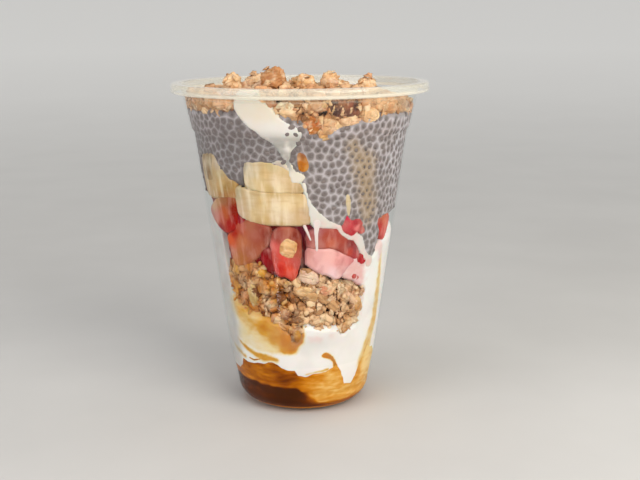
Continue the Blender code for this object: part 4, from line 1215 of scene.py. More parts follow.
# %% Lower granola
GRANOLA_FLOOR = [
    (-180, 34), (-150, 37), (-100, 40), (-60, 42.6), (-50, 40.6), (-40, 38.5), (-27, 37.4), (-18, 35.2),
    (-14, 33.2), (-11, 30.2), (-8, 28.8), (-4.6, 29), (-1.6, 31.6), (1.6, 34.4), (6, 34.5), (16, 33.5),
    (24, 33), (27.5, 31), (32, 30.8), (35.5, 32.6), (42, 33.8), (45.5, 36.6), (48, 42), (100, 40),
    (150, 38)]
GRANOLA_CREST = [
    (-180, 58), (-120, 56), (-58, 57), (-50, 56.4), (-39, 57.8), (-30, 60), (-25, 59), (-22, 55.6),
    (-14, 54.4), (-6, 53.4), (-3, 56.6), (0, 58.4), (6, 57.4), (13, 55.4), (20, 53.5), (26, 53.2),
    (31, 50.4), (38, 49.8), (45, 50.5), (50, 54), (90, 56), (140, 57)]
GRANOLA_REACH = [
    (-180, 36), (-160, 36), (-140, 26), (-70, 26), (-64, 29), (-59, 36), (44, 36), (48, 29), (55, 26),
    (140, 26), (160, 36)]


def granola_core_radius(angle, height):
    wall = np.minimum(inner_radius(height) - 3.0, round_wall(GRANOLA_REACH, angle) - 2.0)
    low, high = round_wall(GRANOLA_FLOOR, angle), round_wall(GRANOLA_CREST, angle)
    rim = np.minimum(height - low, high - height)
    rough = 0.9 * wander(wall_points(angle, wall, height), 4, 60)
    return wall + rough - 1.2 * np.exp(-rim / 1.5)


core, _ = wall_body(
    "granola_lower_core", lambda a: round_wall(GRANOLA_FLOOR, a) + 0.6,
    lambda a: round_wall(GRANOLA_CREST, a) - 0.8, granola_core_radius, 220, 26,
)
finished(core, painted_shade_core, "granola", "granola_lower")


def granola_inside(angle, height):
    band = np.minimum(height - round_wall(GRANOLA_FLOOR, angle),
                      round_wall(GRANOLA_CREST, angle) - height)
    return np.minimum(band, round_wall(GRANOLA_REACH, angle) - inner_radius(height) + 0.5)


def facing_out(angles, lean):
    """Directions that mostly face out through the wall, with a random lean."""
    out = wall_points(angles, 1.0 + 0 * angles, -0.1)
    out = out + rng.normal(0, lean, out.shape)
    return out / np.linalg.norm(out, axis=1)[:, None]


def spread_oats(name, spots, facing, library, corners, chance, low, high, lean, honey):
    """Scatters oats or crumbs, settles them on the wall and stores how much honey they took."""
    pieces = scattered(name, spots, facing, np.ones(len(spots)), library, baked_oats, chance,
                       Smallest=low, Largest=high, Lean=lean)
    settled(pieces, corners)
    points = read_points(pieces)
    angle = np.degrees(np.arctan2(points[:, 0], -points[:, 1]))
    store(pieces, "honey", np.clip(honey(angle, points), 0, 1))
    finished(pieces, baked_oats, "granola")
    return pieces


def lower_honey(angle, points):
    front = eased((10 - angle) / 26) * eased((angle + 150) / 40)
    return 0.08 + 0.72 * front + (0.2 + 0.6 * front) * wander(points, 6, 62)


for name, depth, spacing, margin, lean, chance in (
        ("front", (0.2, 0.8), 5.6, 1.0, 0.28, 11), ("back", (1.0, 2.6), 3.8, 0.3, 0.45, 12)):
    places = even_places((-180, 180), (28, 61), spacing,
                         lambda a, h: granola_inside(a, h) > margin)
    layer = rng.uniform(*depth, len(places))
    spots = wall_points(places[:, 0], inner_radius(places[:, 1]) - layer, places[:, 1])
    spread_oats(f"granola_lower_{name}_oats", spots, facing_out(places[:, 0], lean),
                flake_library, FLAKE_CORNERS, chance, *((1.0, 1.5) if name == "front" else
                                                        (0.8, 1.25)), 0.4, lower_honey)

# %% Lower crumbs
places = even_places((-180, 180), (28, 61), 2.8, lambda a, h: granola_inside(a, h) > 0.1)
layer = rng.uniform(0.6, 2.4, len(places))
spots = wall_points(places[:, 0], inner_radius(places[:, 1]) - layer, places[:, 1])
spread_oats("granola_lower_crumbs", spots, facing_out(places[:, 0], 0.8), crumb_library,
            CRUMB_CORNERS, 15, 0.5, 1.3, 1.2, lower_honey)
places = even_places((-180, 180), (28, 61), 6.4, lambda a, h: granola_inside(a, h) > 1.4)
spots = wall_points(places[:, 0], inner_radius(places[:, 1]) - 1.6, places[:, 1])
spread_oats("granola_lower_knobs", spots, facing_out(places[:, 0], 0.8), crumb_library,
            CRUMB_CORNERS, 16, 1.1, 2.2, 1.2, lower_honey)

# %% [markdown]
# Between the smaller oats lie some larger lumps that touch the plastic: whole flakes seen flat,
# and bits that a berry or the honey has coloured. Each has its own outline and touches of colour.

# %% Lumps in the lower granola
LOWER_LUMPS = [
    # name, reach, outline, touches of colour
    ("long_flake", 0.06,
     [(-6, 49.4), (-2, 50.8), (4, 51), (9, 49), (11, 46.6), (8, 45.4), (3, 46.2), (-3, 47)],
     [(-4, 49, "#D9A66E"), (2, 49.6, "#DDB07A"), (8, 47.6, "#C99A68")]),
    ("pink_cluster", 0.05,
     [(-3, 55.4), (0, 57.6), (6, 57), (10, 55), (12, 52.6), (8, 51.2), (3, 52), (-2, 52.6)],
     [(0, 56, "#E0B59C"), (6, 54.6, "#E8C2A8"), (10, 53, "#C09080")]),
    ("raisin_bit", 0.05, [(11, 49.8), (14, 51.2), (18, 50.6), (20, 48.4), (17, 46.8), (13, 47.4)],
     [(14, 50, "#D98F6A"), (18, 48, "#E8A884")]),
    ("right_flake", 0.06, [(37, 44.6), (41, 45.6), (44.6, 43), (44, 39.4), (40, 38.4), (37, 41)],
     [(39, 44, "#D9A468"), (43, 40, "#C08448")]),
    ("low_flake", 0.1, [(28, 34.6), (33, 38), (37, 37), (37.4, 34), (33, 31.2), (29, 31.4)],
     [(31, 33, "#B87C44"), (35, 36.6, "#DDB07A")]),
    ("honey_flake", 0.05, [(-40, 49.6), (-35, 51.6), (-32, 49), (-32, 43.6), (-36, 41.4), (-39, 44)],
     [(-36, 49, "#D8B478"), (-35, 43.6, "#C09C5C")]),
    ("amber_knob", 0.05, [(-30, 55.6), (-26, 57.4), (-23.4, 55.6), (-24, 53.4), (-28, 53.2)],
     [(-27, 55.8, "#DFA03A"), (-25, 54, "#B9781E")]),
    ("brown_knob", 0.05, [(-16, 41.4), (-12, 43), (-8, 41.6), (-8.6, 38.4), (-13, 37.4), (-16, 39)],
     [(-13, 41.4, "#BC845C"), (-10, 39, "#8E5A3A")]),
    ("hanging_flake", 0.1, [(-7, 33.4), (-4, 34.4), (-1.4, 33.6), (-1.2, 30), (-3, 28.8), (-6, 29.4)],
     [(-5, 33, "#C48A34"), (-3, 30, "#A8681C")]),
]
for number, (name, reach, outline, touches) in enumerate(LOWER_LUMPS):
    lump = outlined_piece(
        f"granola_{name}", outline, reach, 1.0, 2.2, 0.4, 200 + number, spacing=0.4,
        relief=lambda p: 0.35 * np.clip(wander(p, 1.8, 210 + number), 0, 1))
    paint(lump, touches, 1.0, 0.8, 220 + number)
    finished(lump, cluster_crust, "granola")

# %% [markdown]
# The top granola fills the cup's upper band and rises over the rim in uneven clusters. Its core
# follows the heap's own outline a few millimetres inside it, and flakes cover both the side that
# shows through the plastic and the top.

# %% Heap core
HEAP_EDGE = [(-180, 112), (-140, 115), (-100, 115), (-60, 116.5), (-20, 117), (20, 117),
             (45, 116.5), (65, 114.5), (90, 112), (120, 110.5), (150, 110.5)]


def heap_height(x, y):
    """Height of the granola's top at a place across the cup, in millimetres."""
    angle = np.degrees(np.arctan2(x, -y))
    edge = round_wall(HEAP_EDGE, angle)
    share = np.minimum(1.0, np.hypot(x, y) / inner_radius(edge))
    spot = np.stack([x / 8 + 3.1, y / 8 + 7.7, 0 * x + 0.4], axis=-1).reshape(-1, 3)
    lumps = np.array([noise.noise(Vector(p)) for p in spot]).reshape(np.shape(x))
    return edge + 6.0 * (0.55 - 0.25 * share) * (1 - share ** 3) + 2.2 * lumps * (1 - 0.5 * share)


def heap_core():
    rings, sides = 22, 96
    points = [(0, 0, float(heap_height(np.array([0.0]), np.array([0.0]))[0]) - 1.6)]
    angles = np.arange(sides) * 360 / sides
    for ring in range(1, rings + 1):
        edge = inner_radius(round_wall(HEAP_EDGE, angles)) - 2.8
        spot = wall_points(angles, edge * ring / rings, 0.0)
        top = heap_height(spot[:, 0], spot[:, 1]) - 1.6
        spot[:, 2] = top - 1.2 * (ring == rings)
        points += spot.tolist()
    low = round_wall(CHIA_TOP, angles) + 0.2
    points += wall_points(angles, inner_radius(low) - 2.8, low).tolist()
    points.append((0, 0, 107.5))
    last = len(points) - 1
    faces = fan(0, 1, sides) + bands(1, rings + 1, sides) + fan(last, last - sides, sides)
    thing = new_object("granola_top_core", points, faces)
    spots = read_points(thing)
    write_points(thing, spots + 0.5 * wander(spots, 3, 70)[:, None])
    return thing


finished(heap_core(), painted_shade_core, "granola", "granola_top")

# %% Heap oats and crumbs
def heap_inside(angle, height):
    return np.minimum(height - round_wall(CHIA_TOP, angle),
                      round_wall(HEAP_EDGE, angle) + 0.6 - height)


def top_places(spacing, margin, lift):
    """Places over the heap's top and the directions that it faces there."""
    steps = np.arange(-44, 44, spacing)
    x, y = np.meshgrid(steps, steps)
    x = (x + rng.uniform(-0.45, 0.45, x.shape) * spacing).ravel()
    y = (y + rng.uniform(-0.45, 0.45, y.shape) * spacing).ravel()
    angle = np.degrees(np.arctan2(x, -y))
    inside = np.hypot(x, y) < inner_radius(round_wall(HEAP_EDGE, angle)) - margin
    x, y = x[inside], y[inside]
    up = heap_height(x, y) + rng.uniform(-1.2, lift, len(x))
    facing = rng.normal(0, 0.30, (len(x), 3)) + (0, 0, 1)
    return np.stack([x, y, up], axis=-1), facing / np.linalg.norm(facing, axis=1)[:, None]


def heap_spots(side_spacing, top_spacing, depth, lean, margin, lift):
    """Places for oats at the wall and over the top, with the ways that they face."""
    places = even_places((-180, 180), (102, 119), side_spacing,
                         lambda a, h: heap_inside(a, h) > margin)
    layer = rng.uniform(*depth, len(places))
    side = wall_points(places[:, 0], inner_radius(places[:, 1]) - layer, places[:, 1])
    over, over_facing = top_places(top_spacing, 1.2, lift)
    return (np.concatenate([side, over]),
            np.concatenate([facing_out(places[:, 0], lean), over_facing]))


def top_honey(angle, points):
    return 0.22 + 0.3 * wander(points, 9, 72) + 0.15 * np.exp(-((angle - 5) / 12) ** 2)


spots, facing = heap_spots(4.4, 3.4, (0.4, 1.8), 0.35, 0.9, 0.7)
spread_oats("granola_top_oats", spots, facing, flake_library, FLAKE_CORNERS, 21, 0.8, 1.4,
            0.5, top_honey)
spots, facing = heap_spots(2.4, 2.2, (0.5, 2.4), 0.8, 0.2, 0.5)
spread_oats("granola_top_crumbs", spots, facing, crumb_library, CRUMB_CORNERS, 25, 0.55, 1.6,
            1.2, top_honey)
spots, facing = heap_spots(5.0, 6.4, (1.2, 2.0), 0.8, 1.4, 1.2)
spread_oats("granola_top_knobs", spots, facing, crumb_library, CRUMB_CORNERS, 26, 1.6, 3.0,
            1.2, top_honey)

# %% [markdown]
# Against the plastic the top granola shows large baked lumps beside a chopped date. The largest
# ones take the place of their own plain solids.

# %% Lumps at the top of the wall
TOP_LUMPS = [
    # node or new name, reach, outline, touches of colour
    ("cluster_pale", 0.05,
     [(-13, 113.8), (-10, 115.9), (-5, 116.8), (-1.4, 115.8), (0, 113.1), (-1, 109.6), (-6, 109.6),
      (-9.6, 111.4)],
     [(-10, 114.6, "#FFEDC2"), (-6, 115.6, "#FFF0CD"), (-2, 114.4, "#FDDBAE"), (-1.4, 111.4, "#CF9A6C"),
      (-6, 111, "#BE8B5A"), (-8, 112.6, "#EFC492")]),
    ("left_knob", 0.04,
     [(-70, 113), (-66, 116.4), (-58, 117.2), (-50, 116), (-48, 112.8), (-56, 111.4), (-66, 111)],
     [(-66, 115, "#A2794F"), (-60, 116, "#D8A06C"), (-54, 114, "#B98C5C"), (-62, 112.4, "#956E4B")]),
    ("golden_ridge", 0.05,
     [(-50, 116.6), (-42, 117.2), (-33, 117), (-31, 114), (-36, 112.4), (-46, 112.2), (-51, 114)],
     [(-48, 116, "#DAA06A"), (-42, 115.6, "#F4C192"), (-35, 115.6, "#F6B983"), (-45, 113.2, "#B2875C"),
      (-36, 113, "#845945")]),
    ("behind_the_streak", 0.03,
     [(-34, 114), (-34, 118), (-22, 118.6), (-14, 118.2), (-10, 115), (-14, 112), (-24, 110)],
     [(-30, 116, "#E8B78D"), (-18, 117.6, "#EBB785"), (-12, 115, "#C1855E")]),
    ("beside_the_date", 0.04,
     [(0, 116.4), (5, 117.2), (12, 117), (12.6, 113.6), (8.6, 112.6), (4.6, 113.4), (1.4, 112.2)],
     [(3, 115.5, "#F8CFA2"), (7, 115.8, "#D5A274"), (11, 115, "#DC9F70"), (3, 113.2, "#D6A279"),
      (9, 113.6, "#D29E79")]),
    ("almond_piece", 0.07,
     [(0, 111.4), (4, 112.2), (9, 111), (11, 108.6), (9.6, 105.6), (6, 104.4), (2, 105), (0.6, 108)],
     [(2, 110, "#BE641D"), (5, 111, "#BA6C26"), (8, 109, "#B35C1B"), (3, 106.5, "#B4611F"),
      (7, 106, "#AB621D")]),
    ("cluster_light", 0.05,
     [(9, 110.4), (12.6, 111.4), (17, 110.6), (19, 108), (18.6, 105.4), (15, 104.6), (9.4, 105),
      (10, 107.6)],
     [(12, 110, "#E5BC8D"), (16, 109, "#D5A67D"), (17.6, 106.5, "#DCB598"), (12, 107, "#D2A070"),
      (10.6, 109, "#D29460")]),
    ("gold_strip", 0.06, [(6, 104.6), (10, 105.6), (17, 105.4), (17, 103.4), (11, 102.9), (7, 103.2)],
     [(9, 104.2, "#E3AF6C"), (15, 104.5, "#9B6630")]),
    ("long_beige", 0.04, [(17, 110.6), (24, 111.2), (31.4, 110.4), (30, 107.6), (23, 107.2), (18, 107.6)],
     [(19, 109.3, "#CEA277"), (24, 109.7, "#EDC29A"), (29, 109.2, "#DAAD87")]),
    ("cluster_golden", 0.05,
     [(29.6, 112.4), (33, 113.8), (38.6, 113.8), (42.6, 111.4), (40.6, 108.4), (35, 107.6), (31, 108.4)],
     [(32, 112, "#E8B783"), (37, 112.5, "#EDC18D"), (40, 110.5, "#F5CE9E"), (36, 109.3, "#E5B98B"),
      (32, 109.8, "#D0A279")]),
    ("far_lump", 0.04,
     [(29, 117.2), (40, 117.4), (53, 116.6), (57, 112), (52, 110.6), (43, 111.4), (36, 114.4),
      (30, 113.8)],
     [(33, 116, "#E3AB79"), (40, 116, "#FACA98"), (48, 115.5, "#EBB381"), (52, 113, "#DAA87B"),
      (46, 112.5, "#C88D57")]),
    ("edge_lump", 0.04, [(54, 116), (62, 115.6), (70, 114), (72, 111), (62, 110), (55, 110.6)],
     [(57, 112, "#CC9C70"), (60, 114, "#C19E7D"), (66, 112, "#B09079")]),
]
for number, (name, reach, outline, touches) in enumerate(TOP_LUMPS):
    nodes = [name] if name.startswith(("cluster", "almond")) else []
    lump = outlined_piece(
        f"granola_{name}", outline, reach, 1.5, 4.5, 0.5, 240 + number, spacing=0.4,
        relief=lambda p: 0.9 * np.clip(wander(p, 2.4, 250 + number) - 0.05, 0, 1))
    paint(lump, touches, 1.0, 0.9, 270 + number)
    slot = "nut" if name == "almond_piece" else "granola"
    finished(lump, cluster_crust, slot, *nodes)

# %% [markdown]
# ## Clusters
# The large clusters above the rim are each a handful of oats stuck round a lump. Each one takes
# the place and size of its own plain solid, which we read from the frame, and a few flakes are
# half sunk in it.

# %% Clusters of oats
def cluster_body(name, node, shrink, wave, seed, detail=(24, 34)):
    """An uneven lump inside a node's own box."""
    low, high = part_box(node)
    middle = (np.array(low) + np.array(high)) / 2 / MM
    half = (np.array(high) - np.array(low)) / 2 / MM * shrink
    thing = round_shape(name, half, detail[0], detail[1], wave, seed)
    points = read_points(thing)
    ways = points / np.linalg.norm(points, axis=1)[:, None]
    knobs = 0.9 * wander(points, 2.6, seed + 1) + 0.4 * wander(points, 1.1, seed + 2)
    write_points(thing, points + ways * knobs[:, None] + middle)
    return thing, middle, half


def even_directions(count):
    """Directions spread evenly over a sphere."""
    k = np.arange(count) + 0.5
    up = 1 - 2 * k / count
    turn = math.pi * (1 + 5 ** 0.5) * k
    reach = np.sqrt(1 - up ** 2)
    return np.stack([reach * np.cos(turn), reach * np.sin(turn), up], axis=-1)


PALE, TAN, BROWN = "#EDCDA4", "#DDAF7C", "#BC8250"
CLUSTERS = [("cluster_peak", (BROWN, "#C68E5C", "#A86C3C")), ("cluster_left", (PALE, TAN, PALE)),
            ("cluster_right", (PALE, TAN, "#E2BEA0")), ("cluster_far_right", (TAN, PALE, TAN)),
            ("cluster_middle", (TAN, "#D8A468", PALE)), ("cluster_rear_left", (TAN, PALE, BROWN)),
            ("cluster_rear_right", (PALE, TAN, BROWN))]
TOP_LIMIT = cad_box[1][2] / MM - 0.02


def capped(thing):
    """Keeps a piece under the top of the CAD box, and returns its points."""
    points = read_points(thing)
    points[:, 2] = np.minimum(points[:, 2], TOP_LIMIT)
    write_points(thing, points)
    return points


spots, facings, sizes = [], [], []
for number, (node, tones) in enumerate(CLUSTERS):
    lump, middle, half = cluster_body(f"{node}_crust", node, 0.86, 0.2, 80 + number)
    pressed(lump)
    points = capped(lump)
    tone = 0.5 + 0.7 * wander(points, 4, 85 + number)
    keep_colours(lump, "tint", toned(tone, list(zip((0, 0.5, 1), tones))))
    finished(lump, cluster_crust, "granola", node)
    ways = even_directions(12)
    ways = ways + rng.normal(0, 0.2, ways.shape)
    spots.append(middle + ways * half * rng.uniform(0.78, 0.9, (len(ways), 1)))
    facings.append(ways + rng.normal(0, 0.2, ways.shape))
    sizes.append(rng.uniform(0.55, 0.8, len(ways)))
oats = scattered("cluster_oats", np.concatenate(spots), np.concatenate(facings),
                 np.concatenate(sizes), flake_library, baked_oats, 31, Smallest=0.75,
                 Largest=1.05, Lean=0.2)
settled(oats, FLAKE_CORNERS)
points = capped(oats)
store(oats, "honey", np.clip(0.3 + 0.3 * wander(points, 6, 90), 0, 1))
finished(oats, baked_oats, "granola")

# %% [markdown]
# ## Date and nut
# The chopped date is dark, wrinkled and sticky, with a few glints. The nut is a chip with a smooth
# honey glaze, and it lies on the yogurt streak, nearest the plastic.

# %% Dried fruit and nut
date_skin, tree, shader = start_material(
    "chopped_date", {"Roughness": 0.3, "Specular IOR Level": 0.2, "Coat Weight": 0.2,
                     "Coat Roughness": 0.12})
tint = add_node(tree, "ShaderNodeAttribute", attribute_name="tint").outputs["Color"]
wrinkles = speckle(tree, 1.5, 4, (1, 1, 0.6))
# Painted shade in the wrinkles, and painted glints as pale flecks.
painted_wrinkle_shade_and_glints = tinted(tree, tint, [
    (wrinkles, 0.52, 0.4, 0.85, "#3A1C12"),
    (speckle(tree, 0.9, 3), 0.56, 0.68, 0.5, "#D9A886")])
tree.links.new(painted_wrinkle_shade_and_glints, shader.inputs["Base Color"])
bump = add_node(tree, "ShaderNodeBump", {"Distance": 0.9 * MM}, {"Height": wrinkles})
tree.links.new(bump.outputs["Normal"], shader.inputs["Normal"])
date = outlined_piece(
    "date_chunk",
    [(12, 115.8), (14, 117.2), (24, 117), (28.4, 115), (29.4, 111.2), (24, 110.6), (16, 111), (13, 112.8)],
    0.06, 1.2, 5.0, 0.4, 91, spacing=0.4, relief=lambda p: 0.9 * np.clip(wander(p, 1.7, 96), 0, 1))
paint(date, [(14, 115.5, "#A96C45"), (19, 116, "#A26942"), (24, 115.5, "#8A4A2E"),
             (27, 113, "#864C2E"), (22, 112, "#653C2B"), (16, 112.5, "#6B3E2E")], 1.0, 0.8, 97)
finished(date, date_skin, "date", "date_piece")

# A honey glaze is clear and smooth, so the nut under it looks deep orange; its bright edge is a
# painted highlight, in the pale touches near its rim.
glazed_nut, tree, shader = start_material(
    "honey_glazed_nut", {"Roughness": 0.22, "Specular IOR Level": 0.25, "Subsurface Weight": 0.2,
                         "Subsurface Scale": 0.8 * MM})
tint = add_node(tree, "ShaderNodeAttribute", attribute_name="tint").outputs["Color"]
deeper = tinted(tree, tint, [(speckle(tree, 0.9, 3, (1, 1, 0.4)), 0.5, 0.35, 0.6, "#94500E")])
tree.links.new(deeper, shader.inputs["Base Color"])
nut = outlined_piece(
    "honeyed_nut_chip",
    [(-2.4, 98.2), (-1, 99.6), (2, 98.9), (3.6, 96.8), (4.6, 94.6), (3, 92.8), (0.6, 92.4), (-1.2, 93),
     (-2, 95)], 0.24, 0.6, 2.2, 0.15, 92, spacing=0.25)
paint(nut,
      [(-1, 98.5, "#A67850"), (1.4, 98.5, "#86502C"), (2.6, 96.5, "#B27A3E"), (1, 95.5, "#B66400"),
       (3.4, 94, "#BE8644"), (0.4, 94, "#BE7008"), (-0.6, 96, "#B06400"), (-1.6, 97, "#C89C70")], 0.6,
      0.2, 98)
finished(nut, glazed_nut, "nut", "honeyed_nut")

# %% [markdown]
# ## Strawberries
# The berries are cut lengthwise. A cut berry shows red skin on its round side, and on its cut
# faces flesh that is red under the skin and pale pink at the heart. At the front each piece is
# squeezed on the plastic, so it has a flat contact face with its own outline. Behind, the pieces
# keep their wedge shape, with the tiny seeds in rows on their skin.

# %% Strawberry material
# Fresh strawberry: light goes well into it, and its wet face has no shine where the plastic
# touches it. Pale fibres run through the flesh and darker blotches through the skin.
strawberry, tree, shader = start_material(
    "cut_strawberry", {"Roughness": 0.3, "IOR": 1.4, "Specular IOR Level": 0.08,
                       "Subsurface Weight": 0.12, "Subsurface Scale": 1.2 * MM},
)
shader.inputs["Subsurface Radius"].default_value = (1.0, 0.4, 0.3)
tint = add_node(tree, "ShaderNodeAttribute", attribute_name="tint").outputs["Color"]
fibres = speckle(tree, 1.1, 4, (1, 1, 0.3))
veined = tinted(tree, tint, [
    (speckle(tree, 2.4, 4), 0.5, 0.3, 0.35, "#8E1410"),
    (fibres, 0.5, 0.72, 0.22, "#F2C6B6")])
tree.links.new(veined, shader.inputs["Base Color"])
bump = add_node(tree, "ShaderNodeBump", {"Distance": 0.12 * MM}, {"Height": fibres})
tree.links.new(bump.outputs["Normal"], shader.inputs["Normal"])

# %% Berries on the front wall
FRONT_BERRIES = [
    # node or new name, reach, outline, touches of colour
    ("strawberry_left", 0.1,
     [(-72, 75.6), (-63, 79.5), (-56, 81.6), (-47, 82.8), (-38.5, 83), (-38, 75.1), (-40, 71.9),
      (-43, 70.1), (-51, 68.1), (-56, 68.4), (-61, 69.6), (-68, 72.3)],
     [(-56, 80.5, "#AE8458"), (-50, 81.4, "#9C633D"), (-43, 82, "#98502C"), (-41, 78, "#8A1800"),
      (-41, 74, "#9A0A00"), (-47, 72, "#A40A00"), (-50, 76, "#B65424"), (-54, 73, "#BC5238"),
      (-60, 74, "#C48476"), (-62, 78, "#C09C7A"), (-66, 75, "#B48072"), (-56, 70, "#8E2224"),
      (-45, 70.8, "#AC0A00")]),
    ("crimson_bit", 0.06, [(-40.4, 77), (-35.6, 75.6), (-34, 73), (-40, 71.6)],
     [(-37, 75, "#8C1020"), (-38, 73, "#9A1828")]),
    ("strawberry_face_left", 0.06,
     [(-42, 73.6), (-32, 75.4), (-24, 74.4), (-17.6, 72.8), (-17.6, 68.9), (-20, 65.8), (-24, 63.6),
      (-27, 61.4), (-34, 58.4), (-42, 56.4), (-49, 56.4), (-50, 59.3), (-52, 63.8), (-53, 67.1),
      (-50, 68.8), (-44, 70.2)],
     [(-24, 72, "#9A4A38"), (-32, 73, "#AB6449"), (-38, 72, "#B5523A"), (-44, 69.8, "#AC1C00"),
      (-49, 66, "#D25628"), (-50, 62, "#C4806A"), (-47, 58.5, "#BA7848"), (-40, 60, "#AE6838"),
      (-34, 63, "#AB6246"), (-28, 66, "#A5563C"), (-20.5, 69.5, "#863A28"), (-38, 66.5, "#BE7048"),
      (-28, 69.5, "#AE6450")]),
    ("strawberry_lobe", 0.04,
     [(-27, 62.4), (-24, 65.2), (-17, 65), (-16, 60), (-17, 55.6), (-22, 56.2), (-26, 59.4)],
     [(-23, 63, "#860206"), (-20, 61, "#8A040C"), (-19.6, 57.6, "#801A18"), (-24.6, 60.6, "#A01420")]),
    ("strawberry_centre", 0.1,
     [(-18.6, 70.6), (-14, 73.2), (-7, 73.4), (-0.6, 71), (0.2, 66.5), (-0.6, 62), (-1.6, 58.3),
      (-4, 53.8), (-7, 52.9), (-11, 54.5), (-15, 54.4), (-18.4, 56.1), (-19.6, 61.6), (-19.8, 66.2)],
     [(-15, 70.5, "#984638"), (-8, 71, "#AD6450"), (-3, 70, "#7E2818"), (-1.6, 67, "#934028"),
      (-17, 65.6, "#CE5C54"), (-17, 61, "#C85648"), (-13.4, 57.6, "#BC1E10"), (-8, 58, "#D8442A"),
      (-3.6, 60, "#C05850"), (-2.6, 63, "#AA5440"), (-9, 55.6, "#CC3A26"), (-5.6, 54.4, "#C8503C"),
      (-15, 55.4, "#C2342A"), (-12, 61, "#D8483A")]),
    ("strawberry_salmon", 0.07,
     [(2, 70.6), (6, 72.3), (11, 73), (18, 72.4), (21, 72.6), (24, 70.4), (28, 68.4), (32.6, 67.6),
      (36, 65.2), (38.4, 61.8), (37, 59), (32, 60), (25, 62.2), (18, 64.6), (13, 64.4), (5, 64.6),
      (2, 66.4)],
     [(5, 69, "#9C4F4B"), (9, 71.4, "#A96B6B"), (14, 69, "#A44532"), (20, 70, "#A44339"),
      (25, 67.5, "#A74C3D"), (30, 65.8, "#7F3030"), (34, 63.5, "#8C4144"), (36, 61.2, "#AF4144"),
      (30, 62.4, "#B44335"), (24, 64.4, "#A04A3F"), (17, 66.8, "#B85A42"), (10, 66.9, "#B26D63")]),
    ("strawberry_face_right", 0.11,
     [(2.4, 66), (11, 65), (18, 65.2), (25, 62.9), (32, 60.8), (35.4, 59.3), (33, 57.9), (30, 56.7),
      (28, 54.7), (25, 52.9), (21, 52.7), (17, 54.5), (13, 54.9), (9, 56), (5, 57.7), (2, 59.2),
      (1.4, 62)],
     [(4, 63, "#C47C77"), (10, 62.5, "#DEA5A0"), (16, 62, "#E8AFA8"), (22, 60.5, "#E6A29C"),
      (28, 59, "#D78D8B"), (32, 58.8, "#C67575"), (28, 56.3, "#CD9898"), (20, 55, "#E8C2C2"),
      (12, 57.5, "#E6B4B0"), (6, 59.6, "#D39691")]),
    ("strawberry_bit_upper", 0.3,
     [(22.6, 72), (25, 75), (26.4, 77.2), (28.4, 75), (31, 74), (33.6, 75.4), (37, 74.2), (39.4, 71.6),
      (41, 69.2), (37, 68.6), (34.4, 70), (31, 68.2), (27, 69), (24.6, 70.4)],
     [(26, 73.5, "#BA5C5A"), (29, 72.5, "#BE4046"), (33, 73.3, "#A83038"), (37, 71.5, "#B45850"),
      (31, 70, "#AE3036"), (26.4, 76, "#C03048"), (34, 71.6, "#D87C78")]),
    ("strawberry_bit_lower", 0.3,
     [(35.6, 60.2), (38, 61.8), (41.4, 61.2), (44.6, 58.6), (43, 57), (39, 57.2), (36, 58.3)],
     [(38, 60, "#9C1218"), (41, 59, "#B83038"), (43, 58, "#A81820")]),
    ("juicy_fleck", 0.3, [(32.6, 53.4), (34, 54.6), (38, 53.6), (40.4, 52.2), (37, 51.4), (34, 52.2)],
     [(35, 53.4, "#B44440"), (39, 52.4, "#C26058")]),
    ("strawberry_right", 0.07,
     [(49.6, 71), (51, 74.4), (59, 74.8), (67, 74), (68, 70.7), (66, 67), (63.6, 64.4), (60, 63.8),
      (56.4, 65.8), (52.6, 68.8)],
     [(53, 72.5, "#AD4535"), (57, 73.4, "#B66343"), (60, 71, "#CC7056"), (64, 71, "#CC6E5D"),
      (57, 68.5, "#BF403B"), (61, 67, "#C95650"), (54, 70, "#B82D26")]),
]
for number, (name, reach, outline, touches) in enumerate(FRONT_BERRIES):
    small = "bit" in name or "fleck" in name
    soft, thick = (0.7, 2.4) if small else (1.1, 8.0)
    berry = outlined_piece(
        f"{name}_flesh", outline, reach, soft, thick, 0.2, 300 + number,
        spacing=0.3 if small else 0.5,
        relief=(lambda p: 0.5 * np.clip(wander(p, 1.6, 310 + number), 0, 1)) if small else None)
    paint(berry, touches, 1.2 if not small else 0.7, 0.5, 320 + number)
    nodes = [name] if name.startswith("strawberry") and name != "strawberry_lobe" else []
    finished(berry, strawberry, "strawberry", *nodes)

# Red juice and pulp fill the shade between the pieces, a little way in from the plastic, and
# their near-black reds are painted shade.
pulp_and_gap_shade = outlined_piece(
    "strawberry_pulp",
    [(-38, 76), (-20, 75.6), (5, 75.6), (14, 72), (12, 58), (4, 53), (-4, 52), (-20, 54), (-34, 58),
     (-40, 66)], -1.1, 2.0, 5.0, 0.4, 331)
paint(pulp_and_gap_shade,
      [(1, 66, "#3C0206"), (1, 61.6, "#5A0A0E"), (1, 57.4, "#2C1410"), (0, 72.4, "#640E20"),
       (-8, 73, "#6E1414"), (-20, 73, "#5A1010"), (-26, 62, "#7A0810"), (-32, 75, "#7A2418"),
       (4, 73, "#7A1830")], 1.2, 0.4, 332)
finished(pulp_and_gap_shade, strawberry, "strawberry")

layer, (angle, height) = wall_body(
    "strawberry_pulp_layer", lambda a: np.maximum(round_wall(YOGURT_TOP, a) - 4, 56),
    lambda a: round_wall(CHIA_FOOT, a) + 1.5,
    lambda a, h: inner_radius(h) - 2.4 + 0.7 * wander(wall_points(a, inner_radius(h), h), 4, 338),
    240, 24)
tone = 0.5 + 0.9 * wander(read_points(layer), 5, 339)
keep_colours(layer, "tint", toned(tone, [(0.0, "#5A0C0C"), (0.5, "#8E2A20"), (1.0, "#C46A58")]))
finished(layer, strawberry, "strawberry")

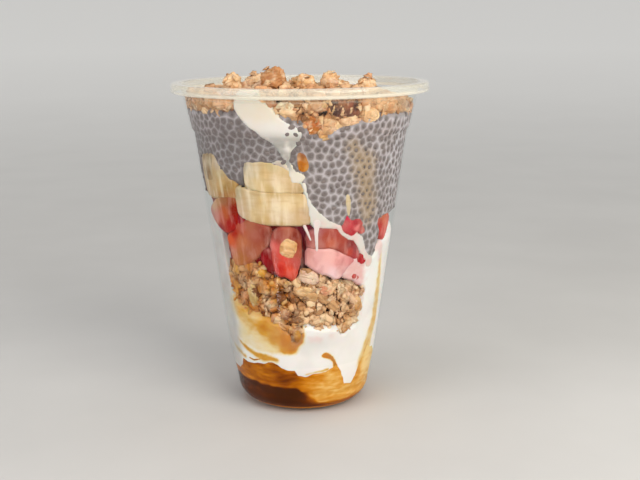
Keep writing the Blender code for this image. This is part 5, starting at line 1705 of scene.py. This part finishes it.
# A knob of oats lies on the middle berry, and berry juice has coloured the yogurt at its right.
knob = outlined_piece(
    "granola_on_the_berry",
    [(-14.4, 64.6), (-12.4, 67.4), (-8, 69.6), (-5, 68.6), (-1.8, 66.9), (-2.6, 64), (-6, 61.6),
     (-10, 61.6), (-13.4, 62.8)], 0.3, 0.7, 2.4, 0.3, 333, spacing=0.3,
    relief=lambda p: 0.18 * np.clip(wander(p, 1.5, 334), 0, 1))
paint(knob, [(-12, 64.6, "#DDA76C"), (-8, 67.6, "#E6B880"), (-4, 66, "#D49A5E"), (-8, 63, "#E0B07C")],
      0.8, 0.6, 335)
finished(knob, cluster_crust, "granola")
blush = outlined_piece(
    "pink_yogurt",
    [(25, 54.6), (28, 57.4), (33, 59.4), (38, 61), (46, 60.4), (50, 57), (51, 50), (47.6, 46), (44, 48.6),
     (39, 50), (35, 51), (31, 52.4), (27.6, 53)], 0.02, 0.8, 2.4, 0.4, 336)
angle, height, points = wall_places(blush)
store(blush, "honey", 0 * angle)
store(blush, "stain", np.clip(0.95 * eased((47 - angle) / 7) + 0.3 * wander(points, 2, 337), 0, 1))
store(blush, "grey", 0 * angle)
finished(blush, strained, "yogurt")

# %% Berry wedges behind
GAP = 0.36
REAR_BERRIES = [
    # name, wall angle, height, inset, length, radius, sweep, twist, roll, pitch, skin tone, flesh
    ("deep", 0, 64.5, 13.5, 19, 8, 220, 0, 10, 0, 0.9, 0.2),
    ("rear_right", 97, 64.5, 2.4, 20, 10, 180, 170, 30, 0, 0.5, 0.7),
    ("rear_1", 126, 68.5, 2.4, 21, 10, 200, 10, -24, 0, 0.5, 0.4),
    ("rear_2", 157, 64.5, 2.2, 20, 10.5, 180, 175, 12, 0, 0.5, 0.8),
    ("rear_3", -172, 68, 2.4, 20, 9.5, 200, -14, 20, 0, 0.6, 0.4),
    ("rear_4", -142, 64.5, 2.2, 21, 10, 180, 182, -20, 0, 0.5, 0.6),
    ("rear_5", -113, 69.5, 2.4, 19, 10, 200, 8, 10, 0, 0.45, 0.4),
    ("rear_left", -85, 67, 2.2, 20, 9.8, 180, 186, -14, 0, 0.5, 0.7),
]
SKIN_TONES = [(0.0, "#E9B48C"), (0.25, "#D8733F"), (0.5, "#C4321E"), (0.75, "#A81A16"), (1.0, "#6A0E10")]
RIM_TONES = [(0.0, "#B43426"), (0.5, "#C25642"), (1.0, "#DB8474")]
HEART_TONES = [(0.0, "#BA5844"), (0.5, "#CE8474"), (1.0, "#F0C0B4")]


def placed(points, angle, height, distance, turns):
    """Turns points by (degrees, axis) steps, then sets them at their place by the wall."""
    turn = Matrix.Rotation(math.radians(angle), 3, "Z")
    for degrees, axis in turns:
        turn = turn @ Matrix.Rotation(math.radians(degrees), 3, axis)
    spot = wall_points(angle, distance, height)
    return np.asarray(points) @ np.array(turn).T + spot


def berry_width(radius, t):
    """Half width of a berry at a share of its length, from the stem to the tip."""
    return max(radius * math.sin(math.pi * min(t * 0.9 + 0.1, 1.0)) ** 0.75 * (1.12 - 0.3 * t), 0.02)


def berry_piece(length, radius, sweep, seed):
    """A wedge's points and faces, with how much of each is skin and how deep its flesh lies."""
    stations, steps = 36, 40
    turns = np.radians(sweep * (np.arange(steps + 1) / steps - 0.5))
    around = np.stack([np.sin(turns), -np.cos(turns)], axis=-1)
    cuts = np.linspace(0, 1, 13)[:-1, None]
    ring = np.concatenate([around[0] * cuts, around, around[-1] * cuts[::-1]])
    skin = np.concatenate([0 * cuts, np.ones((steps + 1, 1)), 0 * cuts]).ravel()
    depth = 1 - np.concatenate([cuts, np.ones((steps + 1, 1)), cuts[::-1]]).ravel()
    rows, flesh = [], []
    for t in np.linspace(0, 1, stations):
        wide = berry_width(radius, t)
        rows.append(np.column_stack([ring * wide, np.full(len(ring), length * (0.5 - t))]))
        flesh.append(depth * min(1.0, wide / (0.55 * radius)))
    points = np.concatenate(rows)
    points = points + 0.35 * wander(points, 6, seed)[:, None] * np.sign(points + 1e-9) * (1, 1, 0)
    count = len(ring)
    faces = bands(0, stations, count)
    faces += [list(range(count))[::-1], [(stations - 1) * count + k for k in range(count)]]
    return points, faces, np.tile(skin, stations), np.concatenate(flesh)


def achene_places(length, radius, sweep, spacing=2.3):
    """Seed places on the skin: rows down the berry, each shifted by half a step."""
    found = []
    rows = int(length / spacing)
    for i in range(1, rows):
        t = i / rows
        wide = berry_width(radius, t)
        steps = max(1, int(math.radians(sweep) * wide / spacing))
        for k in range(steps):
            turn = math.radians(sweep * ((k + 0.5 + 0.5 * (i % 2)) / steps - 0.5))
            if abs(turn) < math.radians(sweep) / 2 - 0.05:
                found.append((wide * math.sin(turn), -wide * math.cos(turn), length * (0.5 - t)))
    return np.array(found)


seed_spots, seed_facing = [], []
for number, (name, angle, height, inset, length, radius, sweep, twist, roll, pitch, skin_tone,
             flesh_tone) in enumerate(REAR_BERRIES):
    points, faces, skin, flesh = berry_piece(length, radius, sweep, 100 + number)
    facing = radius * 0.75 if abs(twist) < 90 else 0.0
    distance = float(inner_radius(height)) - GAP - inset - facing
    turns = [(roll, "Y"), (pitch, "X"), (twist, "Z")]
    berry = new_object(f"strawberry_{name}_piece", placed(points, angle, height, distance, turns),
                       faces)
    tone = wander(points, 7, 120 + number)
    heart = eased((flesh - 0.04) / 0.46)[:, None]
    inner = toned(flesh_tone + 0.2 * tone, RIM_TONES) * (1 - heart)
    inner = inner + toned(flesh_tone + 0.2 * tone, HEART_TONES) * heart
    outer = toned(skin_tone + 0.22 * tone, SKIN_TONES)
    keep_colours(berry, "tint", inner + (outer - inner) * skin[:, None])
    pressed(berry)
    finished(berry, strawberry, "strawberry", f"strawberry_{name}")
    pits = achene_places(length, radius, sweep)
    outwards = pits * (1, 1, 0.15) / np.linalg.norm(pits * (1, 1, 0.15), axis=1)[:, None]
    middle = placed(pits * 0, angle, height, distance, turns)
    seed_facing.append(placed(outwards, angle, height, distance, turns) - middle)
    seed_spots.append(placed(pits * (0.995, 0.995, 1), angle, height, distance, turns))

# %% Strawberry seeds
achene, tree, shader = start_material("strawberry_seeds", {"Roughness": 0.35})
straw = add_node(tree, "ShaderNodeValToRGB", links={"Fac": speckle(tree, 0.8)},
                 stops=[(0.3, "#C9903E"), (0.7, "#E3BD6B")]).outputs["Color"]
tree.links.new(straw, shader.inputs["Base Color"])
achene_library = shape_library(
    "achene_shapes", [round_shape("achene", (0.55, 0.34, 0.2), 4, 6)])
seed_spots, seed_facing = np.concatenate(seed_spots), np.concatenate(seed_facing)
achenes = scattered("strawberry_achenes", seed_spots, seed_facing, np.ones(len(seed_spots)),
                    achene_library, achene, 41, Smallest=0.8, Largest=1.1, Lean=0.1)
pressed(achenes, 2 * PRESS)
finished(achenes, achene, "strawberry")

# %% [markdown]
# ## Bananas
# The banana slices are thick rounds. Their sides show soft bands that run along the fruit, and
# their cut faces show a smooth ring round a softer heart. Two of them lie one on the other and
# touch the plastic, so their colours there are set by touches too.

# %% Banana material
# Ripe banana: creamy and a little see-through, with faint fibres along and across the fruit.
banana, tree, shader = start_material(
    "ripe_banana", {"Roughness": 0.36, "IOR": 1.4, "Specular IOR Level": 0.15,
                    "Subsurface Weight": 0.15, "Subsurface Scale": 1.6 * MM},
)
tint = add_node(tree, "ShaderNodeAttribute", attribute_name="tint").outputs["Color"]
along = speckle(tree, 1.2, 4, (1, 1, 0.12))
banded = tinted(tree, tint, [(along, 0.5, 0.34, 0.45, "#C09A60")])
across = speckle(tree, 0.9, 4, (0.25, 0.25, 1.3))
soft = tinted(tree, banded, [
    (across, 0.5, 0.34, 0.3, "#B8925C"),
    (along, 0.52, 0.66, 0.35, "#F6E8CC"),
    (speckle(tree, 3.4, 4), 0.5, 0.7, 0.25, "#F4E2C2")])
tree.links.new(soft, shader.inputs["Base Color"])
bump = add_node(tree, "ShaderNodeBump", {"Distance": 0.05 * MM}, {"Height": along})
tree.links.new(bump.outputs["Normal"], shader.inputs["Normal"])

# %% Banana slices
BANANAS = [
    # name, wall angle, height, distance, radius, thickness, tilt, heading, reach
    ("lower", -16.5, 79.4, 22.6, 14.6, 11.0, 2, 60, -0.4),
    ("upper", -17.5, 90.3, 26.2, 12.8, 10.6, 3, -80, -0.4),
    ("right", 50, 86.5, 26.0, 12.8, 8.0, 84, 64, -1.4),
    ("rear_flat", 152, 83.5, 22.8, 14.6, 10.0, 4, 30, PRESS),
    ("rear_edge", -118, 90.5, 26.8, 13.2, 8.4, 82, -60, PRESS),
]
SLICE_TOUCHES = {
    "lower": [(-38, 84, "#B5A27F"), (-37, 78, "#C3A287"), (-33, 81, "#CEB798"), (-33, 77, "#CAB193"),
              (-28, 83, "#D6BF98"), (-28, 77, "#D4B989"), (-21, 82, "#D5B47B"), (-21, 76, "#D0B079"),
              (-15, 82, "#DFC6A0"), (-15, 76, "#DCC3A2"), (-8, 82, "#E3CA9E"), (-8, 76, "#D8BF9E"),
              (-2, 82, "#D8BB8D"), (0, 77, "#D0B18F"), (3, 78, "#B49471"), (-15, 85, "#C4A26B"),
              (-2, 85.2, "#BF9C67"), (-26, 85.4, "#C3A475"), (-12, 74, "#C09C6B"), (-24, 74, "#C09A6D")],
    "upper": [(-31, 94, "#A49681"), (-28, 92, "#C3B08F"), (-24, 94, "#CEBD9C"), (-24, 88, "#D6B987"),
              (-19, 92, "#D8B985"), (-15, 94, "#C5AE7F"), (-14, 89, "#E3CBA8"), (-10, 92, "#D4B98D"),
              (-8, 90, "#D8BB93"), (-6, 88, "#D0B185"), (-3, 87, "#C7A87F"), (-1, 86.5, "#B29467"),
              (-12, 86.6, "#E5CFA6"), (-20, 86.6, "#D0B177"), (-28, 87.5, "#C7B085"),
              (-16, 85.3, "#BF9E66")]}
RING_TONES = [(0.0, "#997949"), (0.12, "#C0A16D"), (0.3, "#D2B989"), (0.5, "#DECBA2"),
              (0.96, "#E0CEA6"), (1.0, "#D3B985")]


def banana_points(radius, thickness, sides, seed):
    """Section points turned round the slice's axis, with five faint sides and soft edges."""
    edge, half = 0.5, thickness / 2
    section = [(r, -half) for r in np.linspace(0.5, radius - edge, 9)]
    section += arc((radius - edge, -half + edge), (edge, edge), -90, 0, 4)[1:]
    section += [(radius, z) for z in np.linspace(-half + edge, half - edge, 9)[1:]]
    section += arc((radius - edge, half - edge), (edge, edge), 0, 90, 4)[1:]
    section += [(r, half) for r in np.linspace(radius - edge, 0.5, 9)[1:]]
    section = np.array(section)
    turns = np.arange(sides) * 2 * math.pi / sides
    reach = section[:, None, 0] * (1 + 0.022 * np.cos(5 * turns))[None, :]
    x, y = reach * np.sin(turns), -reach * np.cos(turns)
    z = np.repeat(section[:, 1:], sides, axis=1)
    points = np.stack([x, y, z], axis=-1).reshape(-1, 3)
    points = np.concatenate([points, [(0, 0, -half), (0, 0, half)]])
    points = points + 0.15 * wander(points, 5, seed)[:, None] * (0, 0, 1)
    return points, np.hypot(points[:, 0], points[:, 1]) / radius, len(section)


SLICE_SIDES = 144
for number, (name, angle, height, distance, radius, thickness, tilt, heading, reach) in enumerate(
        BANANAS):
    points, radial, rings = banana_points(radius, thickness, SLICE_SIDES, 150 + number)
    last = rings * SLICE_SIDES
    faces = fan(last, 0, SLICE_SIDES) + fan(last + 1, last - SLICE_SIDES, SLICE_SIDES)
    faces += bands(0, rings, SLICE_SIDES)
    spots = placed(points, angle, height, distance, [(heading, "Z"), (tilt, "X")])
    piece = new_object(f"banana_{name}_slice", spots, faces)
    pressed(piece, reach)
    if name in SLICE_TOUCHES:
        paint(piece, SLICE_TOUCHES[name], 1.6, 0.3, 160 + number)
    else:
        shade = radial + 0.05 * wander(points, 6, 170 + number)
        keep_colours(piece, "tint", toned(shade, RING_TONES))
    finished(piece, banana, "banana", f"banana_{name}")

# %% Banana pieces on the wall
WALL_BANANAS = [
    # node or new name, reach, outline, touches of colour
    ("banana_upper_front", 0.08,
     [(-32, 93.6), (-31, 95.4), (-26, 96), (-17, 96), (-11, 95.2), (-7, 93.8), (-4, 92), (-1, 89),
      (1.2, 87), (2, 85), (-18, 84.8), (-24, 85.2), (-31.6, 86.6), (-32.6, 89.1)], SLICE_TOUCHES["upper"]),
    ("banana_lower_front", 0.07,
     [(-38.6, 87), (-30, 85.8), (-23, 85.4), (-14, 85.4), (2, 85.6), (3.4, 82), (6.4, 74), (-1, 73.6),
      (-10, 73.5), (-21, 73.3), (-29, 73.9), (-33, 74.6), (-38, 75.6), (-39.6, 77.4), (-39.8, 80.1),
      (-39.6, 84)], SLICE_TOUCHES["lower"]),
    ("banana_left", 0.05,
     [(-72, 92), (-70, 96), (-62, 97.4), (-53, 97.6), (-51, 96.2), (-49, 93.4), (-45, 91.2), (-43, 89.5),
      (-37.6, 88.6), (-37, 84), (-38.4, 81.8), (-47, 81.4), (-56, 80.8), (-69, 80), (-72, 84)],
     [(-60, 88, "#B49A6E"), (-56, 88, "#B09468"), (-52, 94, "#BCA88E"), (-50, 90, "#C4AE84"),
      (-52, 86, "#BE9C64"), (-46, 86, "#A07838"), (-47, 90, "#B09A72"), (-42, 87, "#A88246"),
      (-41, 83.4, "#AE7E4A"), (-47, 82.4, "#9E6634"), (-52, 82, "#AA7A44"), (-58, 84, "#BC9C6C"),
      (-60, 82, "#B29472"), (-66, 83, "#B49876"), (-44, 88.6, "#B8986A"), (-48.6, 87.6, "#C8A468")]),
    ("banana_cut_face", 0.09,
     [(-71, 92), (-69, 96.2), (-60, 97.6), (-53.4, 97.6), (-54, 94.9), (-56.4, 91.8), (-56.4, 88.6),
      (-57.4, 86.6), (-67, 86.2), (-70, 89)],
     [(-66, 94, "#8C7250"), (-60, 96, "#8C7654"), (-62, 90, "#846844"), (-66, 87.4, "#88704A"),
      (-58, 88, "#A4875C"), (-55.4, 95, "#9E8A6C")]),
    ("banana_sliver", 0.22, [(24.4, 84), (27, 84), (28.8, 80), (28.2, 76), (26.4, 76.4), (25.4, 80)],
     [(26, 83, "#CDB896"), (28, 78, "#C2AE90")]),
]
for number, (name, reach, outline, touches) in enumerate(WALL_BANANAS):
    soft, thick = (0.45, 3.0) if "front" in name else (0.3, 1.5) if "sliver" in name else (0.9, 6.0)
    piece = outlined_piece(f"{name}_flesh", outline, reach, soft, thick, 0.12, 340 + number)
    paint(piece, touches, 1.3, 0.5, 345 + number)
    finished(piece, banana, "banana", *([name] if name == "banana_left" else []))

# Thin yogurt has run over the right end of the upper slice, and the banana shows through it.
veil = outlined_piece(
    "thin_yogurt_veil",
    [(-17, 95.2), (-12, 96.9), (-6, 97), (-3.6, 94.4), (-2.6, 92.6), (-5, 91.4), (-8, 93.2), (-12, 94.6)],
    0.13, 0.6, 1.6, 0.2, 350)
angle, height, points = wall_places(veil)
store(veil, "honey", 0.16 + 0.1 * wander(points, 2, 351))
store(veil, "stain", 0.12 + 0 * angle)
store(veil, "grey", np.clip(0.55 * eased((-6 - angle) / 5) + 0.15, 0, 1))
finished(veil, strained, "yogurt")
